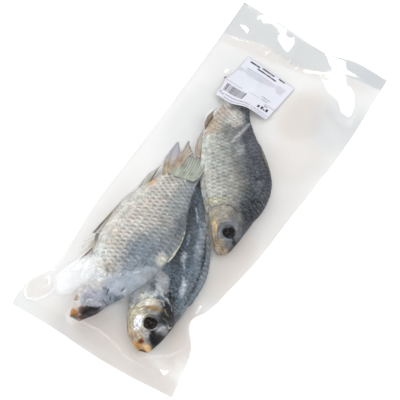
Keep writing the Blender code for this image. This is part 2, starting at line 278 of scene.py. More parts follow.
STROKES = {
    "fish_left": tuple(Stroke(*row) for row in (
        # cracks over the gill cover and the nape
        (((148, 89), (141, 105), (137, 150)), 1.0, "1C2026", 0.9),
        (((204, 92), (191, 94), (176, 96)), 1.6, "2E343E", 0.9),
        (((180, 113), (164, 119)), 1.1, "2E343C", 0.8),
        (((229, 145), (252, 152)), 1.5, "15191F", 0.95),
        (((233, 155), (257, 164)), 0.8, "D4DAE0", 0.6),
        (((305, 100), (300, 116)), 1.2, "3A424A", 0.8),
        (((179, 134), (198, 147), (221, 160)), 4.6, "4E5965", 0.85),
        # torn white edge of the nape
        (((296, 95), (309, 106), (305, 118)), 1.0, "E6EAEE", 0.85),
        (((318, 122), (326, 134), (321, 142)), 0.9, "D2D8DE", 0.7),
        (((336, 150), (354, 160), (360, 176)), 1.0, "D6DCE2", 0.7),
        # black folds of the jaw
        (((30, 36), (58, 62), (90, 96)), 7.0, "4A434B", 0.9),
        (((43, 29), (69, 49), (85, 66), (108, 88)), 5.6, "111218", 0.95),
        (((46, 46), (54, 67), (67, 91)), 2.6, "2E2C34", 0.9),
        (((12, 33), (28, 51), (46, 68)), 2.4, "4E423F", 0.9),
        (((47, 14), (66, 26), (82, 41)), 2.2, "4A3A38", 0.9),
        (((23, 22), (18, 40)), 1.8, "503C34", 0.9),
        # clouded eye, and a lilac band over it, partly painted glare of the film over the head
        (((95, 58), (108, 66), (122, 90)), 5.0, "A9ACB9", 0.9),
        (((113, -5), (147, 5), (160, 35), (152, 76)), 3.4, "A2A4B0", 0.85),
        (((84, 21), (108, 24), (122, 47)), 1.2, "D2D4DC", 0.8),
        # tan cheek and rusty jaw
        (((129, -94), (106, -57), (83, -39)), 2.6, "B79B72", 0.8),
        (((88, -71), (88, -28)), 1.1, "8F744E", 0.8),
        (((28, -47), (34, -11), (25, 15)), 3.4, "B9834A", 0.95),
        (((-2, -31), (8, -13)), 1.6, "8A5A30", 0.8),
        (((71, -65), (57, -19), (64, 2)), 2.4, "D8D3C4", 0.8),
        # shade at the gill
        (((300, 15), (279, 39), (257, 46)), 3.4, "85857B", 0.8),
        (((302, 46), (275, 71)), 2.4, "8C9092", 0.7),
        (((283, -75), (292, -39), (294, -7)), 1.2, "FAFAFA", 0.9),
    )),
    "fish_middle": tuple(Stroke(*row) for row in (
        # painted shade in the slit beside the fish over it
        (((376, -76), (356, -57), (330, -48)), 2.2, "1C2025", 0.95),
        # edge of the throat
        (((248, -164), (162, -137), (82, -107)), 0.9, "5C5044", 0.85),
        (((216, -141), (147, -114), (75, -87)), 1.2, "A3977F", 0.8),
        # wrinkles round the eye
        (((158, -112), (193, -105), (210, -76), (222, -24)), 1.0, "D9D2BE", 0.8),
        (((206, -115), (226, -64), (248, -4), (241, 37)), 1.1, "857044", 0.9),
        (((226, -70), (238, -6), (233, 28)), 1.3, "946C3C", 0.85),
        (((240, -120), (259, -69), (263, -14)), 1.1, "A9A389", 0.6),
        # pale gill cover
        (((272, -118), (298, -69), (292, -17)), 5.0, "C6C8BF", 0.8),
        # bleached socket, and a painted glint in a thin pale arc round the rim of the eye
        (((173, -79), (146, -77), (117, -54)), 4.0, "E6E8F2", 0.95),
        (((105, -34), (94, -9), (80, 0)), 4.0, "A79FA6", 0.8),
        (((137, -27), (117, -5), (113, 19), (135, 37)), 0.9, "D8D9DE", 0.8),
        # black nose with a grey patch and a ringed nostril
        (((90, 16), (69, 36), (57, 45)), 4.2, "0E0B0D", 1),
        (((84, 48), (92, 73)), 3.4, "1B1B20", 0.95),
        (((113, 19), (95, 32)), 3.0, "120E10", 0.95),
        (((122, 49), (141, 70), (152, 84)), 4.0, "94969C", 0.9),
        (((163, 32), (179, 71), (203, 102)), 3.0, "2A2C30", 0.85),
        (((170, 89), (156, 98), (166, 109)), 1.0, "C6C4BE", 0.9),
        # rusty gape and lips
        (((47, -40), (45, -23), (52, -5)), 1.8, "6E3014", 0.95),
        (((28, -46), (11, -24), (-4, -25)), 2.8, "A9803F", 0.9),
        (((30, -7), (26, 16), (15, 29)), 3.4, "C4A87E", 0.9),
        (((77, -37), (65, -17)), 2.6, "AE9676", 0.8),
        # scratches and black folds of the nape
        (((343, 40), (320, 63), (298, 86)), 4.2, "121418", 0.95),
        (((261, 42), (237, 76), (229, 100)), 4.0, "1C1E22", 0.9),
        (((226, 40), (205, 66), (200, 90)), 3.4, "1E2024", 0.85),
        (((314, 21), (299, 53), (277, 70)), 1.4, "C4C8CA", 0.8),
        (((299, 9), (281, 31), (257, 45)), 1.3, "B4B8BA", 0.75),
        (((286, 66), (268, 82), (246, 88)), 1.2, "9CA2A8", 0.7),
        (((243, 52), (222, 64), (212, 82)), 1.2, "8E8470", 0.7),
        (((196, 50), (190, 72), (182, 88)), 1.2, "7C7870", 0.7),
        # black edge of the back
        (((300, 142), (450, 172), (600, 170), (750, 138)), 2.4, "12161C", 0.95),
        # a dark wedge of painted shade along the same slit, and the pale patches behind it
        (((382, -69), (361, -57), (334, -43)), 2.4, "343C42", 0.95),
        (((436, -49), (427, -12), (391, 15)), 5.5, "868D93", 0.85),
        (((372, -35), (343, -4), (324, 13)), 4.5, "AEB3B5", 0.85),
        # pale streaks of the flank: painted glints of the film over it
        (((598, 56), (539, 75), (480, 90)), 2.0, "B4BEC8", 0.8),
        (((451, 95), (392, 115), (335, 120)), 2.6, "AAB4C0", 0.85),
        (((900, 36), (859, 56), (800, 74)), 1.8, "A4B2C0", 0.85),
        (((797, 89), (742, 112), (690, 120)), 1.8, "94A2B0", 0.8),
        (((730, 50), (645, 62)), 2.0, "8494A4", 0.8),
    )),
    "fish_right": tuple(Stroke(*row) for row in (
        # edge of the gill cover
        (((275, -90), (283, -62), (290, -29), (291, 5), (281, 34),
            (258, 65), (246, 86)), 1.1, "3A353A", 0.95),
        # yellow fat behind it
        (((312, -99), (296, -64), (307, -19), (306, 32)), 1.5, "A59C6C", 0.8),
        (((332, -107), (315, -71), (328, -38)), 1.8, "C8C4A4", 0.6),
        (((330, -115), (315, -100)), 1.4, "7A7040", 0.7),
        (((302, -101), (285, -100)), 2.0, "EFE7DB", 0.95),
        (((297, -91), (272, -88)), 1.0, "5E443C", 0.85),
        # amber cheek
        (((263, -89), (220, -76), (177, -64)), 2.6, "C6C0A2", 0.8),
        (((207, -55), (166, -49), (113, -38)), 2.6, "CFB48E", 0.9),
        (((141, -69), (92, -53), (49, -40)), 2.0, "7E6B4E", 0.85),
        # wrinkles
        (((188, -42), (201, -10), (206, 30), (189, 71)), 1.0, "7E6B5A", 0.75),
        (((178, 4), (188, 37), (175, 72)), 0.9, "6E6058", 0.7),
        # blue orbit
        (((156, -17), (121, -19), (86, -5)), 2.6, "7E858A", 0.9),
        (((157, 74), (132, 87), (99, 82)), 1.4, "77777C", 0.7),
        (((100, 52), (90, 69)), 3.0, "18120F", 0.95),
        # snout
        (((64, -25), (29, -5), (15, 19)), 5.0, "9C8E78", 0.85),
        (((40, 0), (20, 19)), 1.8, "75603F", 0.7),
        (((65, 26), (53, 49)), 2.6, "7E7870", 0.7),
        # dark nape
        (((301, 135), (267, 147), (224, 136)), 5.0, "1A212B", 0.9),
        (((217, 74), (173, 95), (132, 87)), 4.0, "5A5656", 0.6),
        # crease of the flank: a painted highlight along its crest and painted shade beside it
        (((877, 96), (791, 49), (694, -13)), 3.2, "B2B3B6", 0.8),
        (((850, 100), (780, 62), (705, 12)), 2.0, "55565E", 0.7),
        (((836, 81), (820, 100)), 2.0, "2C2932", 0.85),
    )),
}

# Rows of the body's mesh along the fish: the mouth's cavity, the head and the body
CAVITY = ((0.085, 0.12), (0.07, 0.36), (0.05, 0.52), (0.024, 0.64), (0.006, 0.78), (0.0, 0.92))
HEAD_ROWS = 100
BODY_ROWS = 80
TAIL_ROOT = (1.012, 1.026, 1.038)
SNOUT_ROUND = 0.034         # how far back a shut mouth is rounded off
SNOUT_PINCH = 0.8          # how far its lips draw together
AROUND = 200
HEAD_END = 0.285            # rear edge of the gill cover
GILL_CENTRE = (0.165, 0.0)
GILL_RADIUS = 0.125
CHEEK_CENTRE = (0.13, -0.012)
CHEEK_RADIUS = 0.092

OVER_ALL = 0.2              # a height over the whole pack, in metres

# Film
FILM_CELLS = (138, 314)
FILM_THICKNESS = 0.00012
FILM_OVER_FISH = 0.00075
UNDER_FILM = 0.00015          # least gap of scales and fins under the upper film
TABLE_TO_TOP_FILM = 0.35 * MM
BOTTOM_FILM = (0.25 * MM, 0.13 * MM)    # upper and lower face over the table
STRETCH_ROUNDS = 1500         # of the membrane over the fish
STIFF_ROUNDS = 250            # of the film under the label
BRIDGE_CELLS = 5              # how far the label's paper bridges a hollow
BRIDGE_ROUNDS = 40
FLOOR_CLEARANCE = 0.0006      # of the fish over the lower film
SKIN_CLEARANCE = 0.0012       # between the skins of two fish that lie on each other
SCALE_CLEARANCE = 0.0008      # of scales and fins over the skin under them
# Each fish after those that it lies on
LYING_ON = (("fish_right", ("fish_middle",)), ("fish_left", ("fish_middle", "fish_right")))


# --- Small tools ---------------------------------------------------------------------------

def linear(code, alpha=None):
    """A Blender colour from an sRGB hex code."""
    channels = [int(code[i:i + 2], 16) / 255 for i in (0, 2, 4)]
    colour = [c / 12.92 if c <= 0.04045 else ((c + 0.055) / 1.055) ** 2.4 for c in channels]
    return tuple(colour) if alpha is None else (*colour, alpha)


def smooth_curve(stations, values, at):
    """Read a smooth curve through the stations: cubic pieces with averaged slopes."""
    stations = np.asarray(stations, float)
    values = np.asarray(values, float)
    slopes = np.gradient(values, stations)
    at = np.clip(at, stations[0], stations[-1])
    piece = np.clip(np.searchsorted(stations, at, side="right") - 1, 0, len(stations) - 2)
    span = stations[piece + 1] - stations[piece]
    t = (at - stations[piece]) / span
    start = values[piece] * (2 * t**3 - 3 * t**2 + 1) + slopes[piece] * span * (t**3 - 2 * t**2 + t)
    end = values[piece + 1] * (3 * t**2 - 2 * t**3) + slopes[piece + 1] * span * (t**3 - t**2)
    return start + end


def curve_of(points, at):
    stations, values = zip(*points)
    return smooth_curve(stations, values, at)


def ease(value, low, high):
    """A smooth step from 0 at low to 1 at high."""
    t = np.clip((value - low) / (high - low), 0, 1)
    return t * t * (3 - 2 * t)


def hump(distance, reach):
    return np.exp(-(distance / reach) ** 2)


def lumps(points, size, seed):
    """Smooth noise of about the given size in metres at each point, from -1 to 1."""
    offset = Vector((seed * 3.1, seed * 1.7, seed * 2.3))
    flat = points.reshape(-1, 3) / size
    values = np.array([noise.noise(Vector(p) + offset) for p in flat])
    return values.reshape(points.shape[:-1])


def near_path(x, y, path):
    """Distance in metres to a line through points in mm, and how far along it, 0 to 1."""
    nearest = np.full_like(x, 9.0)
    along = np.zeros_like(x)
    for k, ((ax, ay), (bx, by)) in enumerate(zip(path, path[1:])):
        ax, ay, bx, by = ax * MM, ay * MM, bx * MM, by * MM
        share = ((x - ax) * (bx - ax) + (y - ay) * (by - ay)) / ((bx - ax)**2 + (by - ay)**2)
        share = np.clip(share, 0, 1)
        away = np.hypot(x - ax - share * (bx - ax), y - ay - share * (by - ay))
        along = np.where(away < nearest, (k + share) / (len(path) - 1), along)
        nearest = np.minimum(away, nearest)
    return nearest, along


def gradient(colours, at):
    """Linear colour read from evenly spread hex stops, at from 0 to 1."""
    stops = np.array([linear(code) for code in colours])
    knots = np.linspace(0, 1, len(stops))
    return np.stack([np.interp(at, knots, stops[:, k]) for k in range(3)], -1)


def new_object(name, data):
    """An object of the scene, at the origin."""
    thing = bpy.data.objects.new(name, data)
    bpy.context.scene.collection.objects.link(thing)
    return thing


def store(mesh, name, kind, values):
    """Keep a value per point: kind is FLOAT, FLOAT_VECTOR or FLOAT_COLOR."""
    key = {"FLOAT": "value", "FLOAT_VECTOR": "vector", "FLOAT_COLOR": "color"}[kind]
    layer = mesh.attributes.new(name, kind, "POINT")
    layer.data.foreach_set(key, np.asarray(values, np.float32).ravel())


def mesh_object(name, points, faces, material=None, floats=None, uv=None):
    """A mesh at the origin, with per-point numbers and a UV map given per point."""
    mesh = bpy.data.meshes.new(name)
    mesh.from_pydata(np.asarray(points).reshape(-1, 3).tolist(), [], faces)
    for key, values in (floats or {}).items():
        store(mesh, key, "FLOAT", values)
    if uv is not None:
        layer = mesh.uv_layers.new(name="surface")
        corners = np.empty(len(mesh.loops), np.int32)
        mesh.loops.foreach_get("vertex_index", corners)
        layer.data.foreach_set("uv", np.asarray(uv, np.float32).reshape(-1, 2)[corners].ravel())
    if material:
        mesh.materials.append(material)
    mesh.shade_smooth()
    mesh.validate()
    return new_object(name, mesh)


def lift_clear(points, clearance=FLOOR_CLEARANCE):
    """Nothing in the pack reaches below the top of the lower film."""
    points[..., 2] = np.maximum(points[..., 2], clearance)
    return points


def read_points(thing):
    points = np.empty((len(thing.data.vertices), 3), np.float32)
    thing.data.vertices.foreach_get("co", points.ravel())
    return points


def write_points(thing, points):
    thing.data.vertices.foreach_set("co", np.asarray(points, np.float32).ravel())
    thing.data.update()


def heights_under(x, y, things):
    """How high the given objects reach at each x, y; zero beside them."""
    height = np.zeros_like(x)
    graph = bpy.context.evaluated_depsgraph_get()
    down = Vector((0, 0, -1))
    for thing in things:
        tree = BVHTree.FromObject(thing, graph)
        low = np.array(thing.bound_box).min(0)
        high = np.array(thing.bound_box).max(0)
        inside = (x > low[0]) & (x < high[0]) & (y > low[1]) & (y < high[1])
        for place_of in zip(*np.nonzero(inside)):
            hit = tree.ray_cast(Vector((x[place_of], y[place_of], OVER_ALL)), down)[0]
            if hit and hit.z > height[place_of]:
                height[place_of] = hit.z
    return height


def shift_clear(thing, limit, side):
    """Lift (side 1) or lower (-1) a piece's points past a height, each scale, ring of a ray or
    pair of points of a fin as one."""
    points = read_points(thing)
    short = np.maximum(side * (limit - points[:, 2]), 0)
    if thing.name.endswith("_scales"):
        short = np.repeat(short.reshape(-1, SCALE_POINTS).max(1), SCALE_POINTS)
    elif thing.name.endswith("_fin_rays"):
        short = np.repeat(short.reshape(-1, RAY_SIDES).max(1), RAY_SIDES)
    elif thing.name.endswith("_fin"):
        short = np.tile(short.reshape(2, -1).max(0), 2)
    points[:, 2] += side * short
    write_points(thing, points)


def rest_on(pieces, others):
    """Press the underside of a fish flat on the fish that it lies on."""
    for piece in pieces:
        points = read_points(piece)
        gap = SKIN_CLEARANCE if piece.name.endswith("_body") else SCALE_CLEARANCE
        under = heights_under(points[:, 0], points[:, 1], others)
        shift_clear(piece, under + gap, 1)


def turn_outwards(thing):
    build = bmesh.new()
    build.from_mesh(thing.data)
    bmesh.ops.recalc_face_normals(build, faces=build.faces)
    build.to_mesh(thing.data)
    build.free()


def unit_grid(rows, columns):
    """Shares from 0 to 1 along both sides of a grid with so many points."""
    return np.meshgrid(np.linspace(0, 1, rows), np.linspace(0, 1, columns), indexing="ij")


def grid_faces(rows, columns, start=0, wrap=False):
    faces = []
    last = columns if wrap else columns - 1
    for i in range(rows - 1):
        for j in range(last):
            k = (j + 1) % columns
            faces.append((start + i * columns + j, start + i * columns + k,
                    start + (i + 1) * columns + k, start + (i + 1) * columns + j))
    return faces


def fan_faces(tip, first, count):
    """Triangles from one point to a closed ring of points."""
    return [(tip, first + j, first + (j + 1) % count) for j in range(count)]


def sheet_solid(name, upper, lower, material, floats=None, uv=None):
    """A thin closed sheet between two grids of points that lie one above the other."""
    rows, columns = upper.shape[:2]
    points = np.concatenate([upper.reshape(-1, 3), lower.reshape(-1, 3)])
    below = rows * columns
    faces = grid_faces(rows, columns)
    faces += [tuple(below + k for k in reversed(face)) for face in faces]
    rim = [i * columns for i in range(rows - 1)]
    rim += [(rows - 1) * columns + j for j in range(columns - 1)]
    rim += [i * columns + columns - 1 for i in range(rows - 1, 0, -1)]
    rim += list(range(columns - 1, 0, -1))
    for a, b in zip(rim, rim[1:] + rim[:1]):
        faces.append((a, b, below + b, below + a))
    twice = {key: np.tile(np.asarray(values).ravel(), 2) for key, values in (floats or {}).items()}
    both = None if uv is None else np.tile(np.asarray(uv).reshape(-1, 2), (2, 1))
    thing = mesh_object(name, points, faces, material, twice, both)
    turn_outwards(thing)
    return thing


def finish_piece(thing, slot, *nodes):
    """The piece rides with the pack and may replace nodes; its slot is not used."""
    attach(thing, BODY)
    if nodes:
        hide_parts(*nodes)


# --- Node trees ----------------------------------------------------------------------------

def add(tree, kind, inputs=None, **settings):
    """Add a node, set its settings, and set its inputs or link them. Kinds of shader node are
    given without ShaderNode. A node given for an input stands for its first output in use."""
    made = tree.nodes.new(kind if "Node" in kind else "ShaderNode" + kind)
    for key, value in settings.items():
        setattr(made, key, value)
    for key, value in (inputs or {}).items():
        if isinstance(value, bpy.types.Node):
            value = next(socket for socket in value.outputs if socket.enabled)
        if isinstance(value, bpy.types.NodeSocket):
            tree.links.new(value, made.inputs[key])
        else:
            made.inputs[key].default_value = value
    return made


# Settings that many nodes share
COLOURS = {"data_type": "RGBA"}
VECTORS = {"data_type": "FLOAT_VECTOR"}
TIMES = {"data_type": "RGBA", "blend_type": "MULTIPLY"}
LIGHTEN = {"data_type": "RGBA", "blend_type": "LIGHTEN"}
PRODUCT = {"operation": "MULTIPLY"}
SMOOTH = {"interpolation_type": "SMOOTHSTEP"}


def close_material(material, shader):
    """End a material with its shader."""
    add(material.node_tree, "OutputMaterial", {"Surface": shader})
    return material


def set_stops(ramp_node, stops):
    """Fill a colour ramp from (position, colour) pairs."""
    elements = ramp_node.color_ramp.elements
    while len(elements) > 1:
        elements.remove(elements[-1])
    elements[0].position, elements[0].color = stops[0]
    for position, colour in stops[1:]:
        elements.new(position).color = colour


def new_material(name):
    """An empty material, its tree, and the place on the object for its textures."""
    material = bpy.data.materials.new(name)
    material.use_nodes = True
    tree = material.node_tree
    tree.nodes.clear()
    return material, tree, add(tree, "TexCoord").outputs["Object"]


def geometry_tree(name, inputs):
    """An empty Geometry Nodes tree with named inputs: (name, socket kind, default)."""
    tree = bpy.data.node_groups.new(name, "GeometryNodeTree")
    tree.is_modifier = True
    for way in ("INPUT", "OUTPUT"):
        tree.interface.new_socket("Geometry", in_out=way, socket_type="NodeSocketGeometry")
    for label, kind, default in (*inputs, ("Material", "Material", None)):
        socket = tree.interface.new_socket(label, in_out="INPUT", socket_type="NodeSocket" + kind)
        if default is not None:
            socket.default_value = default
    return tree, tree.nodes.new("NodeGroupInput").outputs


def close_tree(tree, given, geometry):
    """End a tree: what it made, real and in the given material."""
    real = add(tree, "GeometryNodeRealizeInstances", {"Geometry": geometry})
    coloured = add(tree, "GeometryNodeSetMaterial", {"Geometry": real,
            "Material": given["Material"]})
    add(tree, "NodeGroupOutput", {"Geometry": coloured})
    return tree


def apply_tree(thing, tree, values, name):
    """Run the tree on an object and return the result as a plain mesh object."""
    modifier = thing.modifiers.new(tree.name, "NODES")
    modifier.node_group = tree
    for item in tree.interface.items_tree:
        if item.in_out == "INPUT" and item.name in values:
            modifier[item.identifier] = values[item.name]
    graph = bpy.context.evaluated_depsgraph_get()
    graph.update()
    mesh = bpy.data.meshes.new_from_object(thing.evaluated_get(graph), depsgraph=graph,
            preserve_all_data_layers=True)
    mesh.name = name
    source = thing.data
    bpy.data.objects.remove(thing)
    bpy.data.meshes.remove(source)
    return new_object(name, mesh)


# --- Where a point of a fish lies ----------------------------------------------------------

def outline(fish, s):
    """Centre, half height and half thickness of the body at s, in metres."""
    back = smooth_curve(STATIONS, fish.back, s) * fish.length
    belly = smooth_curve(STATIONS, fish.belly, s) * fish.length
    half_flank = smooth_curve(STATIONS, FLANK, s) * fish.thickness / 2
    return (back - belly) / 2, (back + belly) / 2, half_flank


def place(fish, s, n, t):
    """World points from s along the fish (a fraction), n to its back and t up, in metres."""
    s, n, t = np.broadcast_arrays(np.asarray(s, float), n, t)
    turn = radians(fish.heading)
    roll = radians(fish.roll)
    along = s * fish.length
    side = n * cos(roll) - t * sin(roll)
    up = n * sin(roll) + t * cos(roll)
    drop = fish.tail_drop * ease(s, 0.45, 1.05)
    x = fish.snout[0] - along * sin(turn) + side * cos(turn)
    y = fish.snout[1] + along * cos(turn) + side * sin(turn)
    return np.stack([x, y, fish.height + up - drop], -1)


def locate(fish, points):
    """The s and n of world points: place() turned back."""
    turn = radians(fish.heading)
    roll = radians(fish.roll)
    x = points[..., 0] - fish.snout[0]
    y = points[..., 1] - fish.snout[1]
    s = (y * cos(turn) - x * sin(turn)) / fish.length
    side = x * cos(turn) + y * sin(turn)
    up = points[..., 2] - fish.height + fish.tail_drop * ease(s, 0.45, 1.05)
    return s, side * cos(roll) + up * sin(roll)


def flank_height(fish, s, n):
    """Half thickness of the smooth body at a point of its side view."""
    centre, half, half_flank = outline(fish, s)
    off_centre = np.clip(np.abs(n - centre) / half, 0, 1)
    return half_flank * np.sqrt(1 - off_centre ** 2.4)


def gill_line(s, n):
    """Below 1 inside the gill cover, 1 on its rear edge. s and n are fractions."""
    return np.hypot(s - GILL_CENTRE[0], n - GILL_CENTRE[1]) / GILL_RADIUS


def creases(fish, s, n):
    """Rings of dried skin round the eye, from -1 to 1, strongest on the cheek."""
    eye_s, eye_n, eye_radius = fish.eye
    away = np.hypot(s - eye_s, (n - eye_n) * 0.92) * fish.length
    rings = np.cos(2 * pi * (away - eye_radius) / (2.9 * MM) + 2.5 * np.sin(5 * (s - n) / 0.1))
    reach = ease(away, eye_radius, eye_radius + 1.5 * MM) * (1 - ease(away, 14 * MM, 20 * MM))
    return rings * reach * (0.35 + 0.65 * ease(eye_n - n, -0.02, 0.05))


def head_relief(fish, s, n):
    """How far the flank of the head stands out, in metres. s and n are fractions."""
    eye_s, eye_n, eye_radius = fish.eye
    to_eye = np.hypot(s - eye_s, n - eye_n) * fish.length / eye_radius
    socket = 0.9 * MM * hump(to_eye - 1.3, 0.3) - 2.0 * MM * (1 - ease(to_eye, 0.8, 1.12))
    socket *= fish.eye_open
    gill = gill_line(s, n)
    behind_cheek = ease(s, 0.12, 0.2)
    cover = 1.5 * MM * behind_cheek * ease(gill, 0.35, 0.9) * (1 - ease(gill, 0.985, 1.015))
    slit = -1.3 * MM * behind_cheek * hump(gill - 1.05, 0.035) * (1 - ease(n, *fish.slit))
    cheek = np.hypot(s - CHEEK_CENTRE[0], n - CHEEK_CENTRE[1]) / CHEEK_RADIUS
    cheek_edge = -0.6 * MM * hump(cheek - 1.0, 0.05) * ease(s, 0.13, 0.17)
    jaw_line = np.abs(n + 0.045 + 0.3 * (s - 0.06))
    jaw = -0.6 * MM * hump(jaw_line, 0.006) * ease(s, 0.03, 0.05) * (1 - ease(s, 0.14, 0.18))
    nostril = -1.0 * MM * hump(np.hypot(s - eye_s + 0.058, n - eye_n - 0.03), 0.009)
    lip = 0.9 * MM * hump(s - 0.01, 0.014) - 0.6 * MM * hump(s - 0.045, 0.012)
    return (socket + cover + slit + cheek_edge + jaw + nostril + lip
            + fish.wrinkles * creases(fish, s, n))


def pigment(fish, s, n, points):
    """Linear colour of the skin, silver belly to dark back and stained by drying, with painted shade
    in the gill slit, round the eye socket and in the creases round the eye, and as a fourth value
    0 on the head and 1 behind it."""
    centre, half, _ = outline(fish, np.clip(s, 0, 1))
    across = np.clip((n - centre) / half / 2 + 0.5, 0, 1)
    patches = lumps(points, 15 * MM, fish.seed + 2)
    ragged = lumps(points, 4.5 * MM, fish.seed + 3)
    drift = across + 0.1 * patches + 0.05 * ragged
    flank = gradient(fish.flank_colours, drift)
    head = gradient(fish.head_colours, drift)
    n = n / fish.length
    on_body = ease(gill_line(s, n), 0.97, 1.06) * ease(s, 0.17, 0.24)
    colour = head + (flank - head) * on_body[..., None]
    for stain in STAINS[fish.name]:
        away = np.hypot((1000 * s - stain.s) / stain.reach_s, (1000 * n - stain.n) / stain.reach_n)
        amount = stain.amount * (1 - ease(away + 0.28 * ragged + 0.2 * patches, 0.45, 1.3))
        colour = colour + (np.array(linear(stain.colour)) - colour) * amount[..., None]
    for stroke in STROKES[fish.name]:
        path = [(a * fish.length, b * fish.length) for a, b in stroke.path]
        away, along = near_path(s * fish.length, n * fish.length, path)
        wide = stroke.width * MM * (0.36 + 0.12 * ragged) * (1 - 0.5 * np.abs(2 * along - 1) ** 3)
        amount = stroke.amount * (1 - ease(away, 0.6 * wide, 1.8 * wide))
        colour = colour + (np.array(linear(stroke.colour)) - colour) * amount[..., None]
    # Painted shade: darker in the gill slit, in a ring at the rim of the eye socket and in the grooves
    # of the creases round the eye
    gap = hump(gill_line(s, n) - 1.04, 0.022) * ease(s, 0.17, 0.24) * (1 - ease(n, *fish.slit))
    socket = hump(np.hypot(s - fish.eye[0], n - fish.eye[1]) * fish.length / fish.eye[2] - 0.98,
            0.1)
    crease_shade = np.clip(-creases(fish, s, n), 0, 1) * fish.wrinkles / (0.45 * MM)
    shade = 1 - 0.5 * gap - 0.4 * fish.eye_open * socket - 0.35 * crease_shade
    colour = colour * np.clip(shade, 0.1, 1)[..., None]
    return np.concatenate([colour, on_body[..., None]], -1)


# --- Finishes ------------------------------------------------------------------------------

def skin_material(fish, scales):
    """Dried fish skin: guanine silver gone dull over the pigment, with a greasy sheen.

    Scales are the same, bright along the free edge, partly their own silver and partly a painted
    highlight, with painted shade at the root."""
    kind = "scales" if scales else "skin"
    material, tree, place_at = new_material(f"dried {kind} of {fish.name}")
    painted = add(tree, "Attribute", attribute_name="pigment")
    mottle = add(tree, "TexNoise", {"Vector": place_at, "Scale": 1 / (5.5 * MM), "Detail": 5.0,
            "Roughness": 0.62})
    grain = add(tree, "TexNoise", {"Vector": place_at, "Scale": 1 / (1.1 * MM), "Detail": 3.0,
            "Roughness": 0.6})
    fat = add(tree, "TexNoise", {"Vector": place_at, "Scale": 1 / (12 * MM), "Detail": 3.0,
            "Roughness": 0.6})
    cloudy = add(tree, "MapRange", {"Value": mottle, "From Min": 0.3, "From Max": 0.7,
            "To Min": 0.74 - 0.26 * fish.flecks, "To Max": 1.22 + 0.32 * fish.flecks})
    fine = add(tree, "MapRange", {"Value": grain, "From Min": 0.3, "From Max": 0.7,
            "To Min": 0.78 - 0.24 * fish.flecks, "To Max": 1.16 + 0.26 * fish.flecks})
    tone = add(tree, "Math", {0: cloudy, 1: fine}, **PRODUCT)
    tint = add(tree, "ValToRGB", {"Fac": fat})
    set_stops(tint, [(0.34, (1.04, 0.98, 0.95, 1)), (0.5, (1, 1, 1, 1)),
            (0.66, (0.97, 1.01, 1.0, 1))])
    tinted = add(tree, "Mix", {"Factor": 1.0, "A": painted.outputs["Color"], "B": tint}, **TIMES)
    colour = add(tree, "Mix", {"Factor": 1.0, "A": tinted, "B": tone}, **TIMES)

    # Pale flecks where the silver layer is left on dark skin
    flecks = add(tree, "TexNoise", {"Vector": place_at, "Scale": 1 / (2.2 * MM), "Detail": 4.0,
            "Roughness": 0.7, "Distortion": 0.8})
    islands = add(tree, "MapRange", {"Value": flecks, "From Min": 0.48, "From Max": 0.68})
    where = add(tree, "Math", {0: islands, 1: mottle}, **PRODUCT)
    body = 1.0 if scales else painted.outputs["Alpha"]
    most = add(tree, "Math", {0: fish.flecks, 1: body}, **PRODUCT)
    share = add(tree, "Math", {0: where, 1: most}, operation="MULTIPLY", use_clamp=True)
    colour = add(tree, "Mix", {"Factor": share, "A": colour, "B": linear("A3ADB6", 1)}, **LIGHTEN)

    if not scales:
        # Fine pale crinkles of skin that has shrunk on the bone, lightened partly as painted highlight
        # on their wet crests
        crinkles = add(tree, "TexNoise", {"Vector": place_at, "Scale": 1 / (7 * MM), "Detail": 4.0,
                "Roughness": 0.6, "Distortion": 1.2}, noise_type="RIDGED_MULTIFRACTAL")
        crests = add(tree, "MapRange", {"Value": crinkles, "From Min": 0.35, "From Max": 0.85,
                "To Max": 0.55}, **SMOOTH)
        colour = add(tree, "Mix", {"Factor": crests, "A": colour, "B": linear("BCC2C8", 1)},
                **LIGHTEN)
    else:
        spot = add(tree, "UVMap", uv_map="scale")
        chance = add(tree, "Attribute", attribute_name="chance").outputs["Fac"]
        split = add(tree, "SeparateXYZ", {0: spot})
        reach = add(tree, "VectorMath", {0: spot, 1: (0.5, 0.4, 0)}, operation="DISTANCE")
        # Painted highlight: a bright crescent near each scale's free edge, where the raised edge
        # catches the light, partly the scale's own silver
        rim = add(tree, "ValToRGB", {"Fac": reach})
        set_stops(rim, [(0.34, (0, 0, 0, 1)), (0.44, (1, 1, 1, 1)), (0.55, (1, 1, 1, 1)),
                (0.6, (0, 0, 0, 1))])
        # Painted shade at the root, under the free edge of the scale before it, and painted shadow just
        # past its own free edge
        plate = add(tree, "ValToRGB", {"Fac": reach})
        dark = 1 - 0.56 * fish.scale_contrast
        set_stops(plate, [(0.1, (dark, dark, dark, 1)), (0.36, (0.92, 0.92, 0.92, 1)),
                (0.55, (1, 1, 1, 1)), (0.62, (dark, dark, dark, 1))])
        off_centre = add(tree, "Math", {0: split.outputs["X"], 1: 0.6}, operation="SUBTRACT")
        sideways = add(tree, "Math", {0: off_centre}, operation="ABSOLUTE")
        middle = add(tree, "MapRange", {"Value": sideways, "From Min": 0.16, "From Max": 0.38,
                "To Min": 1.0, "To Max": 0.0}, **SMOOTH)
        luck = add(tree, "MapRange", {"Value": chance, "To Min": 0.15})
        kept = add(tree, "Math", {0: painted.outputs["Alpha"], 1: 0.75 * fish.scale_contrast},
                **PRODUCT)
        silver = rim
        for share in (middle, luck, kept):
            silver = add(tree, "Math", {0: silver, 1: share}, **PRODUCT)
        shaded = add(tree, "Mix", {"Factor": painted.outputs["Alpha"], "A": colour, "B": plate},
                **TIMES)
        lit = add(tree, "Mix", {"Factor": 1.0, "A": colour, "B": (1.35, 1.38, 1.4, 1)}, **TIMES)
        silver_highlight = add(tree, "Mix", {"Factor": 0.45, "A": lit, "B": linear("E4E8E8", 1)},
                **COLOURS)
        colour = add(tree, "Mix", {"Factor": silver, "A": shaded, "B": silver_highlight}, **COLOURS)

